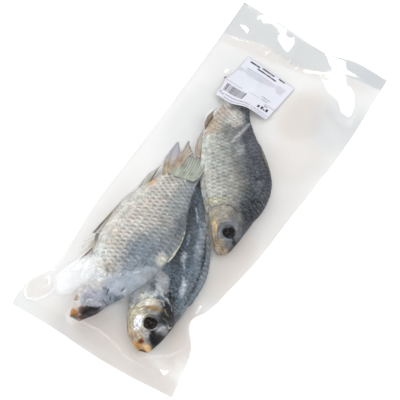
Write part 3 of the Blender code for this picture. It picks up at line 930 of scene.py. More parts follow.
    sheen = add(tree, "MapRange", {"Value": mottle, "From Min": 0.3, "From Max": 0.7,
            "To Min": 0.34, "To Max": 0.52})
    relief = add(tree, "Bump", {"Height": grain, "Distance": 0.25 * MM, "Strength": 0.5})
    shader = add(tree, "BsdfPrincipled", {"Base Color": colour, "Metallic": 0.12,
            "Roughness": sheen, "IOR": 1.45, "Normal": relief})
    return close_material(material, shader)


def eye_material(fish, pupil, iris, ring, roughness):
    """A dried eyeball: a hard glossy cornea over a dark pupil and a wrinkled iris."""
    material, tree, place_at = new_material(f"dried eye of {fish.name}")
    outward = add(tree, "Attribute", attribute_name="outward").outputs["Fac"]
    wrinkles = add(tree, "TexNoise", {"Vector": place_at, "Scale": 1 / (1.8 * MM), "Detail": 4.0,
            "Roughness": 0.6})
    drift = add(tree, "Math", {0: wrinkles, 1: 0.5}, operation="SUBTRACT")
    shifted = add(tree, "Math", {0: drift, 1: 0.5, 2: outward}, operation="MULTIPLY_ADD")
    colours = add(tree, "ValToRGB", {"Fac": shifted})
    set_stops(colours, [(0.5, linear(pupil, 1)), (0.72, linear(iris, 1)), (0.92, linear(iris, 1)),
            (1.0, linear(ring, 1))])
    # Pale specks on the eye, partly painted glints of the crinkled cornea
    specks_and_glints = add(tree, "TexNoise", {"Vector": place_at, "Scale": 1 / (1.5 * MM), "Detail": 2.0})
    pale = add(tree, "MapRange", {"Value": specks_and_glints, "From Min": 0.6, "From Max": 0.72,
            "To Max": 0.45})
    flecked_and_glinted = add(tree, "Mix", {"Factor": pale, "A": colours, "B": linear("A08E86", 1)}, **COLOURS)
    relief = add(tree, "Bump", {"Height": wrinkles, "Distance": 0.7 * MM, "Strength": 0.8})
    shader = add(tree, "BsdfPrincipled", {"Base Color": flecked_and_glinted, "Roughness": roughness, "IOR": 1.4,
            "Specular IOR Level": 0.25, "Normal": relief})
    return close_material(material, shader)


def fin_material(name, pale, dark, edge, cover, rays):
    """A dried fin: horny rays with a translucent brownish skin between them."""
    material, tree, place_at = new_material(name)
    surface = add(tree, "UVMap", uv_map="surface")
    split = add(tree, "SeparateXYZ", {0: surface})
    stains = add(tree, "TexNoise", {"Vector": place_at, "Scale": 1 / (8 * MM), "Detail": 4.0,
            "Roughness": 0.6})
    stained = add(tree, "MapRange", {"Value": stains, "From Min": 0.42, "From Max": 0.62}, **SMOOTH)
    base = add(tree, "Mix", {"Factor": stained, "A": linear(pale, 1), "B": linear(dark, 1)},
            **COLOURS)
    # Broad streaks that run out along the rays
    streaks = add(tree, "Mapping", {"Vector": surface, "Scale": (rays / 2.2, 1.1, 1.0)})
    bands = add(tree, "TexNoise", {"Vector": streaks, "Scale": 1.0, "Detail": 2.0})
    banded = add(tree, "MapRange", {"Value": bands, "From Min": 0.35, "From Max": 0.65,
            "To Min": 0.74, "To Max": 1.22})
    outward = add(tree, "MapRange", {"Value": split.outputs["Y"], "From Min": 0.25,
            "From Max": 0.8}, **SMOOTH)
    colour = add(tree, "Mix", {"Factor": outward, "A": base, "B": linear(edge, 1)}, **COLOURS)
    phase = add(tree, "Math", {0: split.outputs["X"], 1: 2 * pi * (rays - 1)}, **PRODUCT)
    wave = add(tree, "Math", {0: phase}, operation="COSINE")
    stripe = add(tree, "MapRange", {"Value": wave, "From Min": -1.0, "To Min": 1.12,
            "To Max": 0.66})
    shades = add(tree, "Math", {0: stripe, 1: banded}, **PRODUCT)
    striped = add(tree, "Mix", {"Factor": 1.0, "A": colour, "B": shades}, **TIMES)
    thin = add(tree, "MapRange", {"Value": split.outputs["Y"], "From Min": 0.2,
            "To Min": 0.97 * cover, "To Max": 0.7 * cover})
    shader = add(tree, "BsdfPrincipled", {"Base Color": striped, "Roughness": 0.42, "IOR": 1.45,
            "Alpha": thin})
    return close_material(material, shader)


def film_material(settings):
    """Clear blown PA/PE film, 0.12 mm: glossy on both sides, faintly warm in what it passes,
    and milky where it is creased or its inside is smeared with fish oil. Part of its milkiness is
    painted glare, and part of its darker oily tint is painted shade near the fish."""
    material, tree, place_at = new_material("clear PE film")
    milky, seal, oily, cling = (add(tree, "Attribute", attribute_name=name).outputs["Fac"]
            for name in ("milky", "seal", "oily", "cling"))
    smears = add(tree, "TexNoise", {"Vector": place_at, "Scale": 1 / (11 * MM), "Detail": 4.0,
            "Roughness": 0.6, "Distortion": 0.8})
    creases = add(tree, "TexNoise", {"Vector": place_at, "Scale": 1 / (14 * MM), "Detail": 2.0,
            "Distortion": 0.5})
    relief = add(tree, "Bump", {"Height": creases, "Distance": 1.0 * MM, "Strength": 0.12})
    # Oil smeared inside the film, and painted shade near the fish heads, pass less light
    smeared = add(tree, "Mix", {"Factor": oily, "A": (*settings.film_tint, 1),
            "B": (*settings.oil_and_shade_tint, 1)}, **COLOURS)
    tint = add(tree, "Mix", {"Factor": seal, "A": smeared, "B": (*settings.seal_tint, 1)},
            **COLOURS)
    clear = add(tree, "BsdfTransparent", {"Color": tint})
    gloss = add(tree, "BsdfGlossy", {"Color": (1, 1, 1, 1), "Roughness": settings.film_roughness,
            "Normal": relief})
    # The milky layer of the film, partly painted glare
    haze_and_glare = add(tree, "BsdfDiffuse", {"Color": linear("F9FAFC", 1)})
    patchy = add(tree, "MapRange", {"Value": smears, "From Min": 0.35, "From Max": 0.65,
            "To Min": 0.94, "To Max": 1.05})
    hazy = add(tree, "Math", {0: milky, 1: patchy}, operation="MULTIPLY", use_clamp=True)
    body = add(tree, "MixShader", {0: hazy, 1: clear, 2: haze_and_glare})
    # Both faces of the sheet mirror, and all of it is put on the face towards the viewer
    mirror = add(tree, "Fresnel", {"IOR": 1.5, "Normal": relief})
    facing = add(tree, "NewGeometry")
    front = add(tree, "Math", {0: 1.0, 1: facing.outputs["Backfacing"]}, operation="SUBTRACT")
    # It is wet with oil where it clings to a fish
    strength = add(tree, "Math", {0: cling, 1: -0.95 * settings.film_gloss, 2: settings.film_gloss},
            operation="MULTIPLY_ADD")
    both = add(tree, "Math", {0: mirror, 1: strength}, operation="MULTIPLY", use_clamp=True)
    seen = add(tree, "Math", {0: both, 1: front}, **PRODUCT)
    surface = add(tree, "MixShader", {0: seen, 1: body, 2: gloss})
    return close_material(material, surface)


def paper_material():
    """Coated thermal paper: smooth, near white with a lilac cast, the faintest fibre."""
    material, tree, place_at = new_material("thermal label paper")
    fibre = add(tree, "TexNoise", {"Vector": place_at, "Scale": 1 / (0.8 * MM), "Detail": 3.0,
            "Roughness": 0.6})
    tone = add(tree, "TexNoise", {"Vector": place_at, "Scale": 1 / (28 * MM), "Detail": 1.0})
    colour = add(tree, "ValToRGB", {"Fac": tone})
    set_stops(colour, [(0.35, linear("BEC1C8", 1)), (0.65, linear("C6C3CC", 1))])
    relief = add(tree, "Bump", {"Height": fibre, "Distance": 0.05 * MM, "Strength": 0.3})
    shader = add(tree, "BsdfPrincipled", {"Base Color": colour, "Roughness": 0.5, "IOR": 1.5,
            "Normal": relief})
    return close_material(material, shader)


def ink_material():
    """Thermal print: the paper's own coating turned grey by heat, so matt and uneven."""
    material, tree, place_at = new_material("thermal print")
    ink = add(tree, "Attribute", attribute_name="ink").outputs["Fac"]
    fade = add(tree, "TexNoise", {"Vector": place_at, "Scale": 1 / (5 * MM), "Detail": 2.0})
    drift = add(tree, "Math", {0: fade, 1: 0.5}, operation="SUBTRACT")
    depth = add(tree, "Math", {0: drift, 1: 0.4, 2: ink}, operation="MULTIPLY_ADD")
    colour = add(tree, "ValToRGB", {"Fac": depth})
    set_stops(colour, [(0.2, linear("C6C7D4", 1)), (0.5, linear("9A9BA8", 1)),
            (0.95, linear("35363E", 1))])
    shader = add(tree, "BsdfPrincipled", {"Base Color": colour, "Roughness": 0.6, "IOR": 1.5})
    return close_material(material, shader)


# --- Fish: body, scales, eyes, fins --------------------------------------------------------

def body_rows():
    """(s, share of the section's size) for each ring of the body, from inside the mouth."""
    head = [(s, 1.0) for s in np.linspace(0.0, HEAD_END, HEAD_ROWS)]
    body = [(s, 1.0) for s in np.linspace(HEAD_END, 1.0, BODY_ROWS)[1:]]
    root = [(s, 1.0) for s in TAIL_ROOT]
    return np.array(list(CAVITY) + head + body + root)


def make_body(fish):
    """The skinned body with its head, open mouth and sunken flanks, as one closed mesh."""
    rows = body_rows()
    s = np.repeat(rows[:, :1], AROUND, 1)
    share = np.repeat(rows[:, 1:], AROUND, 1)
    angle = np.linspace(0, 2 * pi, AROUND, endpoint=False)[None, :]
    centre, half, half_flank = outline(fish, np.clip(s, 0, 1))
    half_flank = half_flank * (1 - 0.86 * ease(s, fish.scaled_to - 0.03, 1.04))
    side = np.sign(np.sin(angle))
    bulge = np.sqrt(np.clip(1 - np.abs(np.cos(angle)) ** 2.4, 0, 1))
    outside = ease(share, 0.86, 1.0)
    shut = 1 - ease(fish.gape, 0.01, 0.035)
    rounded = np.sqrt(1 - (1 - np.clip(s / SNOUT_ROUND, 0, 1)) ** 2)
    rounded[:len(CAVITY)] = 0.0
    share = share * (1 - SNOUT_PINCH * shut * (1 - rounded))
    n = centre + half * share * np.cos(angle)
    corner = fish.gape * np.sin(angle) ** 2 * (1 - ease(s, 0.0, 0.075)) * outside
    relief = head_relief(fish, s + corner, n / fish.length) * outside * bulge ** 0.5
    t = side * (half_flank * share * bulge + relief)
    points = place(fish, s + corner, n, t)
    inward = points - place(fish, s, centre, 0.0)
    inward /= np.maximum(np.linalg.norm(inward, axis=-1, keepdims=True), 1e-9)
    sunken = lumps(points, 17 * MM, fish.seed) * 0.6 * MM * ease(s, 0.05, 0.2)
    wrinkled = lumps(points, 4.5 * MM, fish.seed + 1) * 0.22 * MM
    points = lift_clear(points + inward * ((sunken + wrinkled) * outside)[..., None])

    colours = pigment(fish, s + corner, n, points)
    # Inside of the mouth: a brown throat, darker as painted shade the wider the mouth gapes
    throat = np.array(linear("8C6238", 0)) * (0.5 + 0.5 * shut)
    colours = colours + (throat - colours) * (1 - outside)[..., None]
    ends = [points[0].mean(0), points[-1].mean(0)]
    count = points.shape[0] * AROUND
    faces = grid_faces(points.shape[0], AROUND, wrap=True)
    faces += fan_faces(count, 0, AROUND) + fan_faces(count + 1, count - AROUND, AROUND)
    thing = mesh_object(f"{fish.name}_body", np.vstack([points.reshape(-1, 3), ends]),
            faces, skin_material(fish, scales=False))
    store(thing.data, "pigment", "FLOAT_COLOR",
          np.vstack([colours.reshape(-1, 4), colours[0, :1], colours[-1, :1]]))
    turn_outwards(thing)
    return thing


SCALE_SECTORS = 12
SCALE_POINTS = 1 + 3 * SCALE_SECTORS


def scale_blank():
    """One scale, 1 wide and 1 long: a thin rounded plate, its free edge at +Y."""
    turn = np.linspace(0, 2 * pi, SCALE_SECTORS, endpoint=False)
    points = [(0, 0.02, 0.05)]
    for reach, height in ((0.32, 0.05), (0.5, 0.018), (0.49, -0.02)):
        points += [(reach * sin(a), reach * cos(a), height) for a in turn]
    faces = fan_faces(0, 1, SCALE_SECTORS) + grid_faces(3, SCALE_SECTORS, 1, wrap=True)
    faces.append(tuple(range(SCALE_POINTS - SCALE_SECTORS, SCALE_POINTS)))
    thing = mesh_object("scale_blank", points, faces)
    layer = thing.data.uv_layers.new(name="scale")
    for loop in thing.data.loops:
        x, y, _ = thing.data.vertices[loop.vertex_index].co
        layer.data[loop.index].uv = (x + 0.5, y + 0.5)
    turn_outwards(thing)
    return thing


def section_rows(fish, s):
    """n of the scale rows at each s, evenly spread over the skin from belly to back."""
    centre, half, half_flank = outline(fish, s)
    angle = np.linspace(pi, 0, 181)[:, None]
    n = half * np.cos(angle)
    t = half_flank * np.sqrt(np.clip(1 - np.abs(np.cos(angle)) ** 2.4, 0, 1))
    steps = np.hypot(np.diff(n, axis=0), np.diff(t, axis=0))
    walked = np.vstack([np.zeros_like(steps[:1]), np.cumsum(steps, 0)])
    share = (np.arange(fish.scale_rows) + 0.5) / fish.scale_rows
    rows = [np.interp(share * walked[-1, k], walked[:, k], n[:, k]) for k in range(len(s))]
    return centre + np.array(rows).T, walked[-1] / fish.scale_rows


def scale_seats(fish):
    """Where each scale sits: its place, turn and size, in rows that run to the tail."""
    places, turns, sizes = [], [], []
    chance = np.random.default_rng(fish.seed)
    pitch = (1.02 - HEAD_END) / fish.scale_columns
    columns = np.arange(-2, fish.scale_columns + 0.5, 0.5)
    stations = HEAD_END + pitch * columns
    rows, row_pitch = section_rows(fish, stations)
    for side in (1, -1):
        flank = side * flank_height(fish, stations[None, :], rows)
        spots = place(fish, stations[None, :], rows, flank)
        for row in range(fish.scale_rows):
            for k in range(1 + row % 2, len(columns) - 1, 2):
                s = stations[k]
                across = rows[row, k] / fish.length
                begins = np.interp(across, *zip(*fish.bare))
                behind_gill = gill_line(s + 0.55 * pitch, across) > 1.03
                ends = fish.scaled_to + 0.03 * chance.uniform(-1, 1)
                if not behind_gill or not begins < s < ends:
                    continue
                tailward = Vector(spots[row, k + 1] - spots[row, k - 1]).normalized()
                lower, upper = max(row - 1, 0), min(row + 1, fish.scale_rows - 1)
                up = Vector(spots[upper, k] - spots[lower, k]).cross(tailward) * side
                up.normalize()
                turn = Matrix((tailward.cross(up), tailward, up)).transposed()
                places.append(spots[row, k] + np.array(up) * 0.2 * MM)
                turns.append(turn.to_euler())
                grown = chance.uniform(0.92, 1.08)
                sizes.append((row_pitch[k] * 1.42 * grown, pitch * fish.length * 1.75 * grown,
                        5.5 * MM))
    places = lift_clear(np.array(places))
    thing = mesh_object("seats", places, [], floats={"chance": chance.random(len(places))})
    store(thing.data, "turn", "FLOAT_VECTOR", turns)
    store(thing.data, "size", "FLOAT_VECTOR", sizes)
    return thing


def scale_tree():
    """Puts a scale on every seat, each a little lifted, turned and sized by chance."""
    tree, given = geometry_tree("Fish Scales", (
        ("Scale", "Object", None), ("Lift", "Float", 0.06), ("Unevenness", "Float", 0.03),
        ("Seed", "Int", 1)))
    blank = add(tree, "GeometryNodeObjectInfo", {"Object": given["Scale"]})
    turn = add(tree, "GeometryNodeInputNamedAttribute", {"Name": "turn"}, **VECTORS)
    size = add(tree, "GeometryNodeInputNamedAttribute", {"Name": "size"}, **VECTORS)
    turned = add(tree, "FunctionNodeEulerToRotation", {0: turn})
    placed = add(tree, "GeometryNodeInstanceOnPoints", {"Points": given["Geometry"],
            "Instance": blank.outputs["Geometry"], "Rotation": turned, "Scale": size})
    chance = add(tree, "FunctionNodeRandomValue", {"Min": (-1, -1, -1), "Max": (1, 1, 1),
            "Seed": given["Seed"]}, **VECTORS)
    lift = add(tree, "CombineXYZ", {0: given["Lift"]})
    tilt = add(tree, "VectorMath", {0: chance, 1: given["Unevenness"], 2: lift},
            operation="MULTIPLY_ADD")
    tilted = add(tree, "GeometryNodeRotateInstances", {"Instances": placed, "Rotation": tilt})
    return close_tree(tree, given, tilted)


def make_scales(fish, blank, tree, lift):
    thing = apply_tree(scale_seats(fish), tree, {"Scale": blank, "Lift": lift, "Seed": fish.seed,
        "Material": skin_material(fish, scales=True)}, f"{fish.name}_scales")
    points = lift_clear(read_points(thing))
    write_points(thing, points)
    s, n = locate(fish, points)
    colours = pigment(fish, s, n, points)
    bright = ease(colours[:, :3].mean(1), 0.05, 0.4)
    first = np.interp(n / fish.length, *zip(*fish.bare))
    showing = ease(s - first, -0.015, 0.075)        # the foremost lie half under the skin
    colours[:, 3] = ease(n / fish.length, *fish.worn) * (0.3 + 0.7 * bright) * showing
    store(thing.data, "pigment", "FLOAT_COLOR", colours)
    for spare in ("turn", "size"):
        thing.data.attributes.remove(thing.data.attributes[spare])
    return thing


EYE_LOOKS = {
    "fish_left": ("8F929E", "A0A3B0", "A2A4AF", 0.55),
    "fish_middle": ("060304", "170B0A", "4C4446", 0.1),
    "fish_right": ("060507", "100D12", "4A525A", 0.1),
}
EYE_PROFILE = ((0.0, 0.4), (0.14, 0.42), (0.28, 0.44), (0.42, 0.43), (0.56, 0.39),
               (0.7, 0.3), (0.84, 0.14), (0.96, -0.06), (1.04, -0.3))
EYE_SIDES = 40


def make_eyes(fish):
    """A shrunken, crinkled eyeball in each socket, closed at the back."""
    eye_s, eye_n, radius = fish.eye
    n = eye_n * fish.length
    height = float(flank_height(fish, eye_s, n)) - (2.4 - 1.4 * fish.eye_open) * MM
    turn = np.linspace(0, 2 * pi, EYE_SIDES, endpoint=False)
    points, outward, faces = [], [], []
    for side in (1, -1):
        start = len(points)
        for share, dome in EYE_PROFILE[1:]:
            for a in turn:
                wide = share * radius * (1 + 0.12 * sin(3 * a + fish.seed) * share
                        + 0.05 * sin(7 * a))
                s = eye_s + wide * cos(a) / fish.length
                across = n + wide * sin(a)
                spot = place(fish, s, across, side * (height + dome * radius * 0.5))
                crinkle = noise.noise(Vector(spot) / (2.2 * MM)) * 0.45 * MM * (1 - share**4)
                spot[2] = max(spot[2] + side * crinkle, FLOOR_CLEARANCE)
                points.append(spot)
                outward.append(share)
        rings = len(EYE_PROFILE) - 1
        faces += grid_faces(rings, EYE_SIDES, start, wrap=True)
        top = len(points)
        points.append(place(fish, eye_s, n, side * (height + EYE_PROFILE[0][1] * radius * 0.5)))
        points.append(place(fish, eye_s, n, side * (height - 0.4 * radius * 0.5)))
        outward += [0.0, 1.0]
        faces += fan_faces(top, start, EYE_SIDES)
        faces += fan_faces(top + 1, top - EYE_SIDES, EYE_SIDES)
    thing = mesh_object(f"{fish.name}_eyes", np.array(points), faces,
            eye_material(fish, *EYE_LOOKS[fish.name]), {"outward": outward})
    turn_outwards(thing)
    return thing


class Fin(NamedTuple):
    """A fin as a fan of rays from a base to a tip line. Places are (s, n) in thousandths."""

    name: str
    base: tuple         # first and last ray at the body
    middle: tuple       # where those rays pass half way
    tip: tuple          # tips, evenly spread over the rays
    rays: int
    height: tuple       # above the fish's mid-plane at the base and at the tips, in mm
    ragged: float       # how uneven the tips are, as a share of a ray's length
    look: str


FIN_LOOKS = {
    "grey": ("A9B2A8", "8A8C7E", "A6AA9F", 1.0),
    "lilac": ("C6B8A0", "A08E74", "BDBBC2", 0.9),
    "tan": ("BCA894", "94745A", "C2B6A8", 0.9),
    "cream": ("CFC3A0", "94805A", "DCD7BC", 1.0),
    "pale": ("BDBDB0", "9A9C90", "CDCDC4", 0.9),
    "clear": ("E8DED4", "CDBAAA", "EAE2DA", 0.25),
    "pink": ("DFCFC2", "BCA28E", "E0D4CA", 0.6),
    "dusky": ("7F837E", "6A6E6E", "D6D2BE", 1.0),
    "dark": ("50545A", "2C2E33", "8D8672", 1.0),
    "brown": ("7C6A5C", "50423A", "A08E7E", 1.0),
}
FINS = {
    "fish_left": tuple(Fin(*row) for row in (
        ("tail_top", ((960, -46), (972, 98)), ((1040, -70), (1035, 110)),
            ((1112, -82), (1120, -45), (1128, -5), (1134, 42), (1098, 86)),
            14, (3.2, -1.4), 0.05, "grey"),
        ("tail_middle", ((968, -34), (975, 4)), ((1075, -82), (1080, -30)),
            ((1142, -88), (1176, -80), (1222, -96), (1176, -56), (1146, -18)),
            8, (2.6, -2.4), 0.03, "tan"),
        ("tail_low", ((940, -80), (966, -20)), ((1040, -134), (1045, -56)),
            ((1090, -146), (1135, -148), (1182, -140), (1145, -108), (1108, -78)),
            13, (3.0, -1.8), 0.05, "lilac"),
        ("dorsal", ((440, 222), (640, 212)), ((480, 246), (660, 226)),
            ((490, 258), (540, 268), (600, 262), (660, 246), (700, 228)),
            16, (0.4, 1.0), 0.06, "dusky"),
        ("anal", ((775, -150), (868, -118)), ((850, -164), (925, -128)),
            ((900, -164), (925, -160), (955, -152), (995, -134)), 8, (0.0, 0.5), 0.03, "pale"),
        ("anal_spine", ((868, -124), (876, -120)), ((930, -133), (936, -126)),
            ((1002, -133), (1000, -130)), 3, (1.0, 1.4), 0.0, "dark"),
        ("pelvic", ((455, -150), (520, -152)), ((550, -186), (600, -170)),
            ((735, -176), (715, -172), (680, -168), (640, -165)), 12, (-1.0, -2.5), 0.05, "cream"),
        ("pelvic_spine", ((470, -218), (478, -208)), ((559, -212), (562, -202)),
            ((718, -196), (716, -190)), 4, (-1.0, -1.0), 0.0, "brown"),
        ("far_pectoral", ((455, -160), (480, -185)), ((380, -168), (430, -215)),
            ((308, -184), (335, -205), (370, -225), (410, -236)), 4, (-0.5, -1.5), 0.06, "clear"),
        ("far_pectoral_edge", ((455, -158), (458, -161)), ((383, -162), (384, -166)),
            ((306, -184), (307, -187)), 3, (0.0, -1.0), 0.0, "brown"),
        ("pectoral_stub", ((482, -160), (470, -190)), ((430, -146), (425, -172)),
            ((372, -130), (362, -136), (360, -142)), 7, (1.5, 1.5), 0.02, "dusky"),
    )),
    "fish_middle": tuple(Fin(*row) for row in (
        ("tail", ((960, -64), (960, 66)), ((1060, -84), (1060, 84)),
            ((1190, -125), (1170, -80), (1120, -30), (1115, 20), (1165, 75), (1195, 120)),
            26, (0.0, -1.5), 0.08, "dark"),
        ("dorsal", ((420, 176), (800, 112)), ((460, 196), (810, 126)),
            ((480, 203), (580, 204), (680, 186), (760, 158), (860, 118)), 22, (1.5, 1.0), 0.05, "dark"),
        ("pectoral", ((300, -82), (305, -104)), ((360, -92), (360, -118)),
            ((440, -100), (450, -112), (445, -124), (430, -136)), 10, (8.6, 6.6), 0.05, "grey"),
    )),
    "fish_right": tuple(Fin(*row) for row in (
        ("tail", ((960, -60), (960, 72)), ((1060, -60), (1060, 88)),
            ((1200, -62), (1180, -40), (1120, -10), (1120, 35), (1175, 90), (1210, 130)),
            26, (0.0, -2.5), 0.08, "grey"),
        ("dorsal", ((360, 214), (720, 150)), ((400, 238), (730, 165)),
            ((430, 248), (520, 250), (620, 224), (700, 190), (780, 145)), 20, (0.0, 0.0), 0.05, "dark"),
        ("anal", ((765, -152), (885, -112)), ((820, -166), (925, -128)),
            ((860, -170), (905, -156), (945, -130), (968, -104)), 12, (1.0, 2.0), 0.05, "brown"),
        ("pelvic", ((580, -150), (640, -158)), ((670, -208), (700, -180)),
            ((830, -172), (800, -176), (775, -166), (745, -160)), 12, (-0.5, -1.0), 0.05, "pink"),
        ("pectoral", ((284, -88), (288, -104)), ((310, -96), (310, -112)),
            ((345, -104), (348, -112), (342, -120)), 8, (7.4, 5.6), 0.05, "pale"),
    )),
}
FIN_STEPS = 9
FIN_THICKNESS = 0.35 * MM
RAY_RADIUS = 0.28 * MM
RAY_SIDES = 5


def fin_rays(fish, fin):
    """The line of each ray as world points, tips ragged by a seeded chance."""
    chance = np.random.default_rng(fish.seed * 100 + len(fin.name))
    share = np.linspace(0, 1, fin.rays)[:, None]
    base = np.array(fin.base[0]) * (1 - share) + np.array(fin.base[1]) * share
    middle = np.array(fin.middle[0]) * (1 - share) + np.array(fin.middle[1]) * share
    knots = np.linspace(0, 1, len(fin.tip))
    tip = np.stack([smooth_curve(knots, np.array(fin.tip)[:, k], share[:, 0]) for k in (0, 1)], -1)
    reach = 1 - fin.ragged * chance.random((fin.rays, 1))
    tip = base + (tip - base) * reach
    t = np.linspace(0, 1, FIN_STEPS)[None, :, None]
    bent = middle[:, None] * 2 - (base[:, None] + tip[:, None]) / 2
    path = base[:, None] * (1 - t) ** 2 + bent * 2 * t * (1 - t) + tip[:, None] * t ** 2
    path /= 1000
    wave = 0.5 * MM * np.sin(share * 9 + fish.seed)[:, None, :] * t
    rise = (fin.height[0] + (fin.height[1] - fin.height[0]) * t) * MM + wave
    points = place(fish, path[..., 0], path[..., 1] * fish.length, rise[..., 0])
    return lift_clear(points, FLOOR_CLEARANCE + RAY_RADIUS)


def make_fin(fish, fin):
    """The skin of a fin between its rays, thin and closed."""
    rays = fin_rays(fish, fin)
    between = (rays[1:] + rays[:-1]) / 2
    between[:, -1] = between[:, -1] * 0.72 + between[:, -2] * 0.28
    points = np.empty((len(rays) + len(between), FIN_STEPS, 3))
    points[0::2] = rays
    points[1::2] = between
    lift = np.array([0, 0, FIN_THICKNESS / 2])
    u, v = unit_grid(points.shape[0], FIN_STEPS)
    look = FIN_LOOKS[fin.look]
    skin = sheet_solid(f"{fish.name}_{fin.name}_fin", points + lift, points - lift,
            fin_material(f"dried {fin.look} fin", *look, fin.rays), uv=np.stack([u, v], -1))
    return skin, rays


def ray_tree():
    """Draws a horny ray, thick at its root and fine at its tip, along every line."""
    tree, given = geometry_tree("Fin Rays", (
        ("Radius", "Float", RAY_RADIUS), ("Sides", "Int", RAY_SIDES), ("Tip", "Float", 0.35)))
    lines = add(tree, "GeometryNodeMeshToCurve", {"Mesh": given["Geometry"]})
    place_on = add(tree, "GeometryNodeSplineParameter")
    thinning = add(tree, "MapRange", {"Value": place_on, "To Min": 1.0, "To Max": given["Tip"]})
    profile = add(tree, "GeometryNodeCurvePrimitiveCircle", {"Resolution": given["Sides"],
            "Radius": given["Radius"]})
    tube = add(tree, "GeometryNodeCurveToMesh", {"Curve": lines, "Profile Curve": profile,
            "Scale": thinning, "Fill Caps": True})
    return close_tree(tree, given, tube)


def ray_material():
    """Dried fin ray: horn, amber to grey-brown, satin."""
    material, tree, place_at = new_material("horny fin ray")
    stains = add(tree, "TexNoise", {"Vector": place_at, "Scale": 1 / (11 * MM), "Detail": 3.0})
    colour = add(tree, "ValToRGB", {"Fac": stains})
    set_stops(colour, [(0.35, linear("57534D", 1)), (0.5, linear("8D7F6C", 1)),
            (0.66, linear("7A5B3C", 1))])
    shader = add(tree, "BsdfPrincipled", {"Base Color": colour, "Roughness": 0.4, "IOR": 1.5})
    return close_material(material, shader)


def make_rays(fish, lines, tree, material):
    """All rays of one fish as one mesh."""
    points = np.concatenate([fin.reshape(-1, 3) for fin in lines])
    mesh = bpy.data.meshes.new("ray_lines")
    edges = [(start + i, start + i + 1)
            for start in range(0, len(points), FIN_STEPS) for i in range(FIN_STEPS - 1)]
    mesh.from_pydata(points.tolist(), edges, [])
    result = apply_tree(new_object("ray_lines", mesh), tree, {"Material": material},
            f"{fish.name}_fin_rays")
    result.data.shade_smooth()
    return result


# --- Film ----------------------------------------------------------------------------------

def pouch_plan(cells):
    """The x and y of every point of the film's grid, hem to hem."""
    across, along = unit_grid(cells[0] + 1, cells[1] + 1)
    left = curve_of(LEFT_EDGE, along) * POUCH_WIDTH / 2
    right = curve_of(RIGHT_EDGE, along) * POUCH_WIDTH / 2
    bottom = -POUCH_LENGTH / 2 + curve_of(BOTTOM_DIP, across)
    top = POUCH_LENGTH / 2 - curve_of(TOP_DIP, across)
    return left + (right - left) * across, bottom + (top - bottom) * along


def hem_lift(x, y):
    lift = np.zeros_like(x)
    for centre_x, centre_y, reach, height in HEM_SWELLS:
        away = np.hypot(x - centre_x, y - centre_y) / reach
        lift = np.maximum(lift, height * np.exp(-away**2 * 1.6))
    return lift


INNER = (slice(1, -1), slice(1, -1))


def neighbours(grid):
    """The four neighbours of each inner point of a grid."""
    return np.array([grid[:-2, 1:-1], grid[2:, 1:-1], grid[1:-1, :-2], grid[1:-1, 2:]])


def relax(skin, floor, sag, rounds):
    """Stretch the skin over the floor like a membrane that hangs a little."""
    for _ in range(rounds):
        skin[INNER] = np.maximum(neighbours(skin).mean(0) - sag, floor[INNER])
    return skin


class Fold(NamedTuple):
    """A crease along a line of points in millimetres, raised above the film."""

    path: tuple
    width: float        # in millimetres
    height: float
    white: float = 0.0  # how milky its crest is, partly a painted highlight


class Facet(NamedTuple):
    """A tilted, slightly hollow patch of film: corners in mm, and its gradient."""

    corners: tuple
    slope: tuple
    edge: float         # width of the creases round it, in millimetres


class HazeAndGlare(NamedTuple):
    """A patch of milky film, partly painted glare: corners in mm, width of its border in mm, amount."""

    corners: tuple
    edge: float
    amount: float


class Smear(NamedTuple):
    """A stain of the film: centre and reach in mm, turn in degrees, amount."""

    centre: tuple
    reach: tuple
    turn: float
    amount: float


